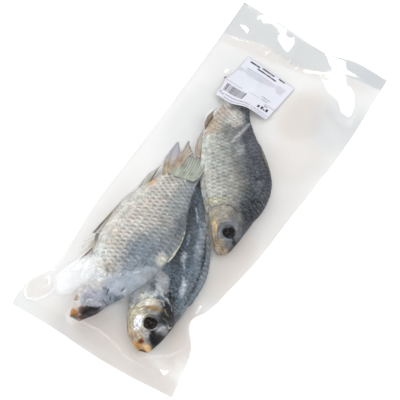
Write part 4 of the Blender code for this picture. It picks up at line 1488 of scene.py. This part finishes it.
FOLDS = tuple(Fold(*row) for row in (
    (((53, -116), (56, -78), (62, -43), (59, 3), (68, 31)), 2.2, 0.9),
    (((55, -38), (57, -22), (62, -14)), 2.5, 0.8),
    (((-40, -191), (-21, -189), (-1, -185), (17, -187), (31, -192), (58, -191)), 1.4, 0.6, 0.12),
    (((-72, -193), (-30, -178), (8, -176), (40, -184)), 2.6, 0.8),
    (((51, -181), (66, -170), (73, -156)), 1.8, 0.9, 0.15),
    (((60, -135), (72, -148), (77, -166)), 1.8, 0.8, 0.1),
    (((-92, -182), (-89, -173), (-81, -161), (-73, -155)), 1.8, 1.4, 0.2),
    (((-87, -181), (-85, -188), (-79, -192), (-70, -188), (-63, -177), (-61, -169)), 0.9, 1.3, 0.4),
    (((-70, -156), (-67, -164), (-63, -170), (-63, -177)), 1.2, 0.9, 0.1),
    (((-76, -168), (-73, -164), (-69, -170), (-72, -175)), 1.0, 0.5, 0.25),
    (((-57, -175), (-51, -171), (-45, -167)), 1.2, 0.8, 0.2),
    (((-67, -160), (-64, -146), (-58, -132)), 1.6, 1.0, 0.4),
    (((-88, 158), (-64, 160), (-43, 169), (-22, 166)), 1.0, 0.35),
    (((-55, 156), (-38, 161), (-9, 160), (15, 164), (41, 176), (72, 184)), 1.2, 0.5),
    (((-43, 160), (-41, 168)), 0.7, 0.4, 0.2), (((-33, 158), (-31, 167)), 0.7, 0.4, 0.2),
    (((-21, 160), (-20, 168)), 0.7, 0.4, 0.2), (((-9, 161), (-8, 170)), 0.7, 0.4, 0.2),
    (((3, 162), (2, 171)), 0.7, 0.4, 0.2),
    (((-70, 66), (-58, 72), (-52, 100), (-60, 128)), 3.0, 0.5),
    (((-72, 10), (-60, 40), (-62, 78)), 3.0, 0.6),
    (((22, 92), (44, 78), (72, 84)), 3.0, 0.6),
    (((26, 118), (48, 122), (76, 112)), 3.5, 0.6),
    (((36, 60), (58, 48), (80, 52)), 3.0, 0.5),
    (((-80, -40), (-66, -62), (-62, -96)), 3.0, 0.6),
    (((-50, 60), (-40, 88), (-46, 110)), 2.5, 0.4),
    (((0, -196), (18, -170), (22, -150)), 3.0, 0.6),
    (((-20, -198), (-32, -184), (-30, -172)), 2.5, 0.5),
))
LEAST_MILKY = 0.003
BOWL = 1.45         # radius of a facet's hollow, in metres
FACETS = tuple(Facet(*row) for row in (
    (((25, 166), (36, 168), (50, 168), (63, 171), (71, 166), (80, 151), (83, 136),
        (79, 131), (67, 134), (57, 146), (43, 151), (33, 159)), (0.12, -0.104), 4.0),
    (((18, 194), (29, 198), (42, 199), (48, 190), (60, 188), (70, 185), (61, 181),
        (44, 179), (34, 179), (27, 182)), (0.117, -0.088), 3.0),
    (((-36, 186), (-30, 192), (-22, 191), (-18, 198), (-11, 185), (-10, 170),
        (-18, 169), (-32, 178)), (0.065, -0.099), 3.0),
    (((-39, 194), (-35, 200), (-26, 197), (-32, 193)), (0.062, -0.1), 1.0),
    (((-75, 178), (-70, 182), (-63, 177), (-59, 168), (-65, 171), (-73, 175)), (0.032, -0.111), 1.2),
    (((62, -187), (74, -179), (75, -193)), (0.088, -0.306), 1.2),
))
# Milky patches of film, partly creased film and partly painted glare where the film mirrors the light
HAZE_AND_GLARE = tuple(HazeAndGlare(*row) for row in (
    (((-20, -149), (-21, -141), (-13, -132), (-3, -123), (8, -114), (17, -121), (23, -133),
        (15, -141), (9, -149), (4, -153), (-8, -153)), 2.0, 0.05),
    (((12, -115), (16, -109), (22, -108), (29, -113), (33, -122), (32, -131), (23, -131),
        (20, -121)), 2.5, 0.075),
    (((-67, -160), (-64, -146), (-58, -132), (-44, -130), (-36, -138), (-34, -150), (-40, -160),
        (-45, -167), (-57, -174)), 10.0, 0.27),
    (((-62, -150), (-57, -134), (-46, -139), (-50, -150)), 9.0, 0.36),
    (((69, -166), (79, -159), (84, -172), (76, -178)), 9.0, 0.1),
))
# Fish oil smeared inside the film, and painted shade near the fish heads
OIL_AND_SHADE = tuple(Smear(*row) for row in (
    ((6, -186), (44, 20), 0, 1.0), ((66, -150), (16, 34), 10, 1.0),
    ((-30, -193), (34, 14), 0, 0.45), ((29, -196), (44, 14), 0, 0.9),
    ((37, 115), (26, 36), 0, 0.8), ((56, 72), (31, 38), 0, 0.42),
    ((76, 5), (14, 50), 0, 0.25), ((-12, 165), (90, 8), 8, 0.45),
    ((66, -62), (16, 44), 0, 0.78), ((-76, -178), (16, 14), 0, 0.35),
    ((-70, -80), (10, 60), 0, 0.15), ((60, -196), (34, 14), 0, 1.0),
))
# Film that is stretched and dulled: neutral grey
DULL = tuple(Smear(*row) for row in (
    ((72, 125), (34, 34), 0, 0.55), ((-30, 130), (50, 26), 0, 0.22),
    ((-56, 60), (20, 60), 0, 0.28), ((82, 60), (20, 40), 0, 0.15),
))
SEAL_LINE = ((-0.09, 0.158), (-0.04, 0.168), (0.0, 0.165), (0.034, 0.176), (0.09, 0.186))


def fold_heights(x, y):
    """Creases, sharp at the crest and dying out at both ends."""
    height = np.zeros_like(x)
    for fold in FOLDS:
        away, along = near_path(x, y, fold.path)
        ends = ease(along, 0.0, 0.18) * (1 - ease(along, 0.82, 1.0))
        height += fold.height * MM * ends / (1 + (away / (fold.width * MM)) ** 2) ** 1.5
    return height


def depth_in(x, y, corners):
    """Distance in metres to the edge of a shape with corners in mm, negative outside it."""
    edge, _ = near_path(x, y, corners + corners[:1])
    inside = np.zeros(x.shape, bool)
    for (ax, ay), (bx, by) in zip(corners, corners[1:] + corners[:1]):
        spans = (ay * MM > y) != (by * MM > y)
        level = np.where(spans, y - ay * MM, 0) * (bx - ax) / ((by - ay) or 1.0)
        inside ^= spans & (x < ax * MM + level)
    return np.where(inside, edge, -edge)


def tilt_facets(x, y, skin, floor):
    """The film with its tilted hollow patches, each resting on what is under it."""
    for facet in FACETS:
        depth = depth_in(x, y, facet.corners)
        centre_x, centre_y = np.mean(facet.corners, 0) * MM
        hollow = ((x - centre_x) ** 2 + (y - centre_y) ** 2) / (2 * BOWL)
        rise = x * facet.slope[0] + y * facet.slope[1] + hollow
        rise += (floor - rise)[depth > 0].max() + 0.2 * MM
        weight = ease(depth, -0.5 * facet.edge * MM, 0.5 * facet.edge * MM)
        skin = skin + (rise - skin) * weight
    return skin


def milkiness(x, y):
    """How milky the film is: creased patches with ragged borders, partly painted glare, and crests of
    folds, partly painted highlight.
    """
    plan = np.stack([x, y, np.zeros_like(x)], -1)
    ragged = (lumps(plan, 8 * MM, 8) + 0.5 * lumps(plan, 3 * MM, 9)) * 2.5 * MM
    amount = np.full_like(x, LEAST_MILKY)
    for haze_and_glare in HAZE_AND_GLARE:
        depth = depth_in(x, y, haze_and_glare.corners) + ragged
        half = haze_and_glare.edge * MM / 2
        amount = np.maximum(amount, haze_and_glare.amount * ease(depth, -half, half))
    for fold in FOLDS:
        away, along = near_path(x, y, fold.path)
        crest = hump(away, 0.35 * fold.width * MM + 0.4 * MM) * hump(2 * along - 1, 1.3)
        amount = np.maximum(amount, fold.white * crest)
    return amount


def smeared(x, y, smears):
    amount = np.zeros_like(x)
    for smear in smears:
        turn = radians(smear.turn)
        u = (x - smear.centre[0] * MM) * cos(turn) + (y - smear.centre[1] * MM) * sin(turn)
        v = (y - smear.centre[1] * MM) * cos(turn) - (x - smear.centre[0] * MM) * sin(turn)
        away = np.hypot(u / (smear.reach[0] * MM), v / (smear.reach[1] * MM))
        amount = np.maximum(amount, smear.amount * (1 - ease(away, 0.5, 1.3)))
    return amount


def soften(values, rounds):
    for _ in range(rounds):
        values[INNER] = (values[INNER] + neighbours(values).sum(0)) / 5
    return values


def make_film(settings, contents):
    """The pouch: an upper film drawn over the fish and a lower one flat under them."""
    x, y = pouch_plan(FILM_CELLS)
    plan = np.stack([x, y, np.zeros_like(x)], -1)
    fish = heights_under(x, y, contents)
    under = np.where(fish > 0, 0.0, hem_lift(x, y))
    across = (x - x[:1]) / (x[-1:] - x[:1])
    along = (y - y[:, :1]) / (y[:, -1:] - y[:, :1])
    inset = np.minimum(np.minimum(across, 1 - across) * POUCH_WIDTH,
            np.minimum(along, 1 - along) * POUCH_LENGTH)
    floor = np.where(fish > 0, np.maximum(fish, soften(fish.copy(), 10)) + FILM_OVER_FISH, 0.0)
    floor = np.maximum(floor, under + TABLE_TO_TOP_FILM)
    # The label's paper bridges whatever is under it
    bridge = floor.copy()
    for _ in range(BRIDGE_CELLS):
        bridge[INNER] = np.maximum(bridge[INNER], neighbours(bridge).max(0))
    bridge = soften(bridge, BRIDGE_ROUNDS)
    stiffened = under_label(x, y)
    floor = floor + np.maximum(bridge - floor, 0) * stiffened
    skin = relax(floor.copy(), floor, settings.film_sag, STRETCH_ROUNDS)
    crumple = 1 - np.abs(lumps(plan, 34 * MM, 5)) * 2.6
    crumple = np.maximum(crumple, 0) * 0.55 * MM + lumps(plan, 16 * MM, 6) * 0.1 * MM
    wavy = (fold_heights(x, y) + crumple) * ease(inset, 0.0, 12 * MM)
    skin = tilt_facets(x, y, np.maximum(skin + wavy, floor), floor)
    for _ in range(STIFF_ROUNDS):
        skin[INNER] += (neighbours(skin).mean(0) - skin[INNER]) * stiffened[INNER] * 0.9
        skin = np.maximum(skin, floor)
    cling = soften(np.where(fish > 0, 1 - ease(skin - fish, 1.75 * MM, 4.25 * MM), 0.0), 3)
    band = ease(y - curve_of(SEAL_LINE, x), 0.0, 1.5 * MM) * (0.72 + 0.28 * ease(x, 0.02, 0.08))
    seal = np.maximum(band, 0.22 * (1 - ease(along, 0.03, 0.036)))
    seal = np.maximum(seal, smeared(x, y, DULL))
    material = film_material(settings)
    top = sheet_solid("film_top", np.stack([x, y, skin + FILM_THICKNESS], -1),
            np.stack([x, y, skin], -1), material,
            {"milky": milkiness(x, y), "seal": seal, "oily": smeared(x, y, OIL_AND_SHADE), "cling": cling})
    sparse = (slice(None, None, 2), slice(None, None, 2))
    faces = [np.stack([x, y, under + height], -1)[sparse] for height in BOTTOM_FILM]
    bottom = sheet_solid("film_bottom", *faces, material,
            {"milky": np.full_like(x[sparse], LEAST_MILKY), "seal": seal[sparse]})
    return top, bottom


# --- Label ---------------------------------------------------------------------------------

# Corners on the table plan, in millimetres, from the lower left anticlockwise
LABEL_CORNERS = ((-49.8, 90.8), (8.3, 92.8), (12.9, 141.2), (-46.8, 148.9))
LABEL_SIZE = (0.058, 0.053)
LABEL_CELLS = (58, 53)
LABEL_THICKNESS = 0.1 * MM
LABEL_OVER_FILM = 0.15 * MM
INK_OVER_LABEL = 0.07 * MM


class Print(NamedTuple):
    """A row of printed dashes: from, to, height of its middle (mm on the label), and look."""

    left: float
    right: float
    y: float
    tall: float
    ink: float
    word: float     # mean length of a dash, 0 for one solid bar


PRINTS = tuple(Print(*row) for row in (
    (-23.2, -11.6, 23.2, 1.7, 0.95, 5.0), (-9.1, 5.9, 24.2, 1.7, 0.92, 7.0),
    (10.7, 17.8, 24.9, 1.7, 0.9, 4.0), (-12.5, 9.9, 20.5, 1.7, 0.92, 8.0),
    (-28.0, -22.6, 11.8, 0.9, 0.55, 2.0), (-28.0, -22.6, 9.7, 0.9, 0.55, 2.0),
    (-21.5, 12.5, 15.4, 1.0, 0.55, 2.8), (-21.5, 12.5, 13.0, 1.0, 0.52, 2.6),
    (-21.0, 10.0, 10.6, 1.0, 0.5, 2.8), (-17.0, 2.0, 8.2, 0.9, 0.42, 2.4),
    (13.4, 24.0, 17.6, 1.0, 0.5, 2.6), (13.4, 24.0, 15.2, 1.2, 0.5, 3.6),
    (14.6, 23.6, 12.6, 1.4, 0.46, 4.0), (16.6, 23.6, 10.0, 1.4, 0.42, 4.0),
    (-27.5, -10.0, -8.2, 0.9, 0.55, 2.2),
    (-1.4, 9.7, -8.3, 0.8, 0.48, 2.2),
    (10.6, 20.2, -4.7, 1.2, 0.65, 2.6), (11.6, 18.4, -7.6, 1.2, 0.62, 2.4),
    (17.6, 28.4, -10.6, 1.0, 0.58, 2.6), (18.2, 22.6, -12.8, 1.1, 0.85, 2.0),
    (13.4, 15.6, -17.3, 3.2, 0.95, 0.0), (17.0, 19.2, -16.6, 3.8, 0.95, 0.0),
    (19.8, 21.6, -17.6, 2.0, 0.85, 0.0), (22.2, 24.6, -16.4, 3.8, 0.95, 0.0),
    (-27.4, -24.8, -21.2, 2.2, 0.8, 1.2), (-24.2, -21.6, -22.6, 1.4, 0.85, 1.2),
    (-19.6, 8.0, -21.8, 1.0, 0.66, 3.0), (9.5, 27.8, -22.0, 1.0, 0.55, 2.8),
    (-19.3, 8.5, -24.6, 1.0, 0.6, 3.0), (10.0, 27.6, -24.6, 1.0, 0.5, 2.6),
    (-31.2, -29.0, -5.9, 1.3, 0.95, 0.0),
))
BARS = (-25.6, -2.7, -19.0, -10.9)      # left, right, bottom, top


def label_plan(a, b):
    """Table plan of a place on the label, a and b from 0 to 1, left and bottom first."""
    low_left, low_right, high_right, high_left = (np.array(c) * MM for c in LABEL_CORNERS)
    a, b = a[..., None], b[..., None]
    plan = (low_left * (1 - a) * (1 - b) + low_right * a * (1 - b)
            + high_right * a * b + high_left * (1 - a) * b)
    notch = 2.6 * MM * hump(b - 0.39, 0.11) * (1 - ease(a, 0.0, 0.1))
    draped = 6.0 * MM * hump(a - 0.36, 0.22) * (1 - b) ** 3
    return plan - np.concatenate([notch, draped], -1)


def under_label(x, y):
    """1 where the film is stiffened by the label, easing to 0 just beside it."""
    corners = LABEL_CORNERS
    depth = np.full_like(x, 9.0)
    for (ax, ay), (bx, by) in zip(corners, corners[1:] + corners[:1]):
        long = np.hypot(bx - ax, by - ay)
        side = ((bx - ax) * (y / MM - ay) - (by - ay) * (x / MM - ax)) / long
        depth = np.minimum(depth, side)
    return ease(depth, -5.0, 0.0)


def make_label(film):
    """The paper label, bent to the film it is stuck on."""
    a, b = unit_grid(LABEL_CELLS[0] + 1, LABEL_CELLS[1] + 1)
    plan = label_plan(a, b)
    z = heights_under(plan[..., 0], plan[..., 1], [film])
    stiff = z.copy()
    for _ in range(6):
        stiff[INNER] = neighbours(stiff).mean(0)
    z = np.maximum(stiff, z) + LABEL_OVER_FILM
    lower = np.concatenate([plan, z[..., None]], -1)
    upper = lower + np.array([0, 0, LABEL_THICKNESS])
    return sheet_solid("label_paper", upper, lower, paper_material()), z + LABEL_THICKNESS


def print_seats():
    """Middle, size and ink of every printed dash and bar, in metres on the flat label."""
    chance = np.random.default_rng(4)
    seats = []
    for row in PRINTS:
        x = row.left
        while x < row.right - 0.3:
            long = row.right - x
            if row.word:
                long = min(long, row.word * chance.uniform(0.45, 1.5))
            seats.append((x + long / 2, row.y, long, row.tall, row.ink))
            x += long + 0.55
    left, right, bottom, top = BARS
    x = left
    while x < right:
        wide = chance.choice((0.5, 0.8, 1.3))
        seats.append((x + wide / 2, (bottom + top) / 2, wide, top - bottom, 1.0))
        x += wide + chance.choice((0.5, 0.8, 1.2))
    return np.array(seats)


def print_tree():
    """Lays one thin block of print on every seat."""
    tree, given = geometry_tree("Label Print", (("Ink Thickness", "Float", 0.02 * MM),))
    size = add(tree, "GeometryNodeInputNamedAttribute", {"Name": "size"}, **VECTORS)
    block = add(tree, "GeometryNodeMeshCube", {"Size": (1, 1, 1), "Vertices X": 5, "Vertices Y": 4})
    flat = add(tree, "CombineXYZ", {0: 1.0, 1: 1.0, 2: given["Ink Thickness"]})
    scaled = add(tree, "VectorMath", {0: size, 1: flat}, **PRODUCT)
    placed = add(tree, "GeometryNodeInstanceOnPoints", {"Points": given["Geometry"],
            "Instance": block, "Scale": scaled})
    return close_tree(tree, given, placed)


def make_print(surface):
    """Generic rows of dashes and bars, printed flat and then bent onto the label."""
    seats = print_seats()
    middles = np.column_stack([seats[:, :2] * MM, np.zeros(len(seats))])
    thing = mesh_object("print_seats", middles, [], floats={"ink": seats[:, 4]})
    store(thing.data, "size", "FLOAT_VECTOR",
          np.column_stack([seats[:, 2:4] * MM, np.ones(len(seats))]))
    thing = apply_tree(thing, print_tree(), {"Material": ink_material()}, "label_print")
    spots = read_points(thing)
    a = spots[:, 0] / LABEL_SIZE[0] + 0.5
    b = spots[:, 1] / LABEL_SIZE[1] + 0.5
    row = np.clip(a, 0, 0.9999) * LABEL_CELLS[0]
    column = np.clip(b, 0, 0.9999) * LABEL_CELLS[1]
    i, j = row.astype(int), column.astype(int)
    u, v = row - i, column - j
    z = ((1 - u) * (1 - v) * surface[i, j] + u * (1 - v) * surface[i + 1, j]
         + (1 - u) * v * surface[i, j + 1] + u * v * surface[i + 1, j + 1])
    bent = np.column_stack([label_plan(a, b), z + INK_OVER_LABEL + spots[:, 2]])
    write_points(thing, bent)
    thing.data.attributes.remove(thing.data.attributes["size"])
    return thing


# --- Stage ---------------------------------------------------------------------------------

CAMERA_TARGET = (0.0034, -0.0213, 0.0096)
TABLE_REACH = 4.0
# Name, place, size, power, colour, and whether it is mirrored in the film
LIGHTS = (
    ("window_back", (-0.62, 1.3, 1.14), (0.26, 0.26), 1.75, (1, 0.99, 0.98), True),
    ("softbox_back", (-0.9, 1.2, 1.4), (1.0, 1.0), 7.0, (1, 0.99, 0.98), False),
    ("softbox_left", (-1.3, -0.9, 1.1), (1.2, 1.0), 10.5, (0.99, 0.99, 1), False),
    ("softbox_right", (1.2, 0.5, 1.5), (1.0, 1.0), 11.0, (1, 0.99, 0.98), False),
    ("softbox_front", (0.42, -0.66, 1.48), (0.9, 0.9), 9.0, (1, 1, 1), False),
)


def make_camera(settings):
    camera = bpy.data.cameras.new("camera")
    camera.lens = settings.lens
    camera.sensor_width = 36.0
    thing = new_object("camera", camera)
    azimuth = radians(settings.azimuth)
    elevation = radians(settings.elevation)
    ahead = Vector((-sin(azimuth) * cos(elevation), cos(azimuth) * cos(elevation), -sin(elevation)))
    thing.location = Vector(CAMERA_TARGET) - ahead * settings.distance
    thing.rotation_euler = ahead.to_track_quat("-Z", "Y").to_euler()
    bpy.context.scene.camera = thing


def make_light(name, place_at, size, power, colour, mirrored):
    """An area light that faces the middle of the table."""
    light = bpy.data.lights.new(name, "AREA")
    light.shape = "RECTANGLE"
    light.size, light.size_y = size
    light.energy = power
    light.color = colour
    thing = new_object(name, light)
    thing.visible_glossy = mirrored
    thing.location = place_at
    thing.rotation_euler = (-Vector(place_at)).to_track_quat("-Z", "Y").to_euler()


def make_floor():
    """A matt white photo table."""
    material, tree, place_at = new_material("matt white table")
    tone = add(tree, "TexNoise", {"Vector": place_at, "Scale": 2.0, "Detail": 1.0})
    colour = add(tree, "ValToRGB", {"Fac": tone})
    set_stops(colour, [(0.3, linear("F6F6F6", 1)), (0.7, linear("FAFAFA", 1))])
    shader = add(tree, "BsdfPrincipled", {"Base Color": colour, "Roughness": 0.9,
            "Specular IOR Level": 0.1})
    close_material(material, shader)
    corners = [(x * TABLE_REACH, y * TABLE_REACH, 0) for x, y in ((-1, -1), (1, -1), (1, 1), (-1, 1))]
    thing = mesh_object("table", corners, [(0, 1, 2, 3)], material)


# --- Add-on --------------------------------------------------------------------------------

TINT = {"subtype": "COLOR", "size": 3, "min": 0.0, "max": 1.0}


class PackSettings(bpy.types.PropertyGroup):
    """Sizes and colours of the pack."""

    scale_lift: FloatProperty(name="Scale Lift", description="Angle by which a scale's free "
            "edge stands off the skin", default=0.05, subtype="ANGLE")
    film_sag: FloatProperty(name="Film Sag", description="How fast the film falls away "
            "beside the fish, in metres a step", default=8e-6, precision=7)
    film_gloss: FloatProperty(name="Film Gloss", description="Mirroring of a whole sheet "
            "against that of one face", default=1.7, min=0.0, max=2.0)
    film_roughness: FloatProperty(name="Film Roughness", description="Blur of what the film "
            "mirrors", default=0.1, min=0.0, max=1.0)
    film_tint: FloatVectorProperty(name="Film Tint", default=(0.963, 0.962, 0.96), **TINT,
            description="Light that one face of the film passes")
    # The oil tint is also painted shade: the film is darker near the fish heads
    oil_and_shade_tint: FloatVectorProperty(name="Oily Tint", default=(0.914, 0.895, 0.88), **TINT,
            description="The same where it is smeared with oil")
    seal_tint: FloatVectorProperty(name="Seal Tint", default=(0.924, 0.927, 0.929), **TINT,
            description="The same where two sheets are welded")


class StageSettings(bpy.types.PropertyGroup):
    """Camera of the photo table."""

    azimuth: FloatProperty(name="Azimuth", description="Degrees from +Y towards -X in which "
            "the camera looks", default=32.62)
    elevation: FloatProperty(name="Elevation", description="Degrees that the camera looks "
            "down", default=62.24)
    distance: FloatProperty(name="Distance", description="Camera to its target",
            default=1.334, subtype="DISTANCE", unit="LENGTH")
    lens: FloatProperty(name="Focal Length", description="In millimetres, on a 36 mm sensor",
            default=124.8)


class FISHPACK_OT_fish(bpy.types.Operator):
    """Make the bodies, scales, eyes and fins of the dried fish"""

    bl_idname = "fishpack.fish"
    bl_label = "Dried Fish"

    def execute(self, context):
        settings = context.scene.fish_pack
        blank = scale_blank()
        scales_by_tree = scale_tree()
        rays_by_tree = ray_tree()
        horn = ray_material()
        pieces = {}
        for fish in FISH:
            scales = make_scales(fish, blank, scales_by_tree, settings.scale_lift)
            made = [(make_body(fish), "fish_skin"), (scales, "fish_skin"),
                    (make_eyes(fish), "fish_eye")]
            lines = []
            for fin in FINS[fish.name]:
                skin, rays = make_fin(fish, fin)
                made.append((skin, "fish_fin"))
                if fin.look != "clear":     # too thin for rays to show
                    lines.append(rays)
            made.append((make_rays(fish, lines, rays_by_tree, horn), "fish_fin"))
            for piece, slot in made:
                finish_piece(piece, slot)
            pieces[fish.name] = [piece for piece, slot in made]
        for upper, lower in LYING_ON:
            others = [piece for name in lower for piece in pieces[name]
                    if piece.name.endswith(("_body", "_fin"))]
            rest_on(pieces[upper], others)
        bpy.data.objects.remove(blank)
        return {"FINISHED"}


class FISHPACK_OT_film(bpy.types.Operator):
    """Draw the clear film over the fish"""

    bl_idname = "fishpack.film"
    bl_label = "Film Pouch"

    def execute(self, context):
        contents = [thing for thing in bpy.data.objects
                if thing.name.startswith("fish_") and thing.type == "MESH"
                and "rays" not in thing.name and "scales" not in thing.name]
        films = make_film(context.scene.fish_pack, contents)
        for film in films:
            finish_piece(film, "pouch_film", "pouch")
        for thing in bpy.data.objects:
            if thing.name.startswith("fish_") and thing.name.endswith(("_scales", "_fin", "_rays")):
                points = read_points(thing)
                over = heights_under(points[:, 0], points[:, 1], films[:1])
                shift_clear(thing, over - FILM_THICKNESS - UNDER_FILM, -1)
        return {"FINISHED"}


class FISHPACK_OT_label(bpy.types.Operator):
    """Stick the printed paper label on the film"""

    bl_idname = "fishpack.label"
    bl_label = "Paper Label"

    def execute(self, context):
        paper, surface = make_label(bpy.data.objects["film_top"])
        finish_piece(paper, "label_paper", "label")
        finish_piece(make_print(surface), "label_paper")
        return {"FINISHED"}


class FISHPACK_OT_stage(bpy.types.Operator):
    """Set the white table, the lights and the camera"""

    bl_idname = "fishpack.stage"
    bl_label = "Photo Table"

    def execute(self, context):
        scene = context.scene
        scene.view_settings.view_transform = "Standard"
        scene.cycles.transparent_max_bounces = 16    # two sheets of film and fins, seen and lit
        world = bpy.data.worlds.new("studio")
        world.use_nodes = True
        tree = world.node_tree
        tree.nodes.clear()
        path = add(tree, "LightPath")
        strength = add(tree, "MapRange", {"Value": path.outputs["Is Glossy Ray"], "To Min": 0.9,
                "To Max": 0.3})
        sky = add(tree, "Background", {"Color": (0.96, 0.98, 1.0, 1), "Strength": strength})
        add(tree, "OutputWorld", {"Surface": sky})
        scene.world = world
        make_floor()
        for light in LIGHTS:
            make_light(*light)
        make_camera(scene.fish_stage)
        return {"FINISHED"}


class FISHPACK_PT_panel(bpy.types.Panel):
    """Shows the pack's settings and the buttons that make its pieces"""

    bl_idname = "FISHPACK_PT_panel"
    bl_label = "Fish Pack"
    bl_space_type = "VIEW_3D"
    bl_region_type = "UI"
    bl_category = "Fish Pack"

    def draw(self, context):
        for group in (context.scene.fish_pack, context.scene.fish_stage):
            for name in group.__annotations__:
                self.layout.prop(group, name)
        for operator in OPERATORS:
            self.layout.operator(operator.bl_idname)


OPERATORS = (FISHPACK_OT_fish, FISHPACK_OT_film, FISHPACK_OT_label, FISHPACK_OT_stage)
CLASSES = (PackSettings, StageSettings, *OPERATORS, FISHPACK_PT_panel)


def register():
    for each in CLASSES:
        bpy.utils.register_class(each)
    bpy.types.Scene.fish_pack = PointerProperty(type=PackSettings)
    bpy.types.Scene.fish_stage = PointerProperty(type=StageSettings)


def unregister():
    del bpy.types.Scene.fish_stage
    del bpy.types.Scene.fish_pack
    for each in reversed(CLASSES):
        bpy.utils.unregister_class(each)


def main():
    register()
    bpy.ops.fishpack.fish()
    bpy.ops.fishpack.film()
    bpy.ops.fishpack.label()
    bpy.ops.fishpack.stage()


if __name__ == "__main__":
    main()
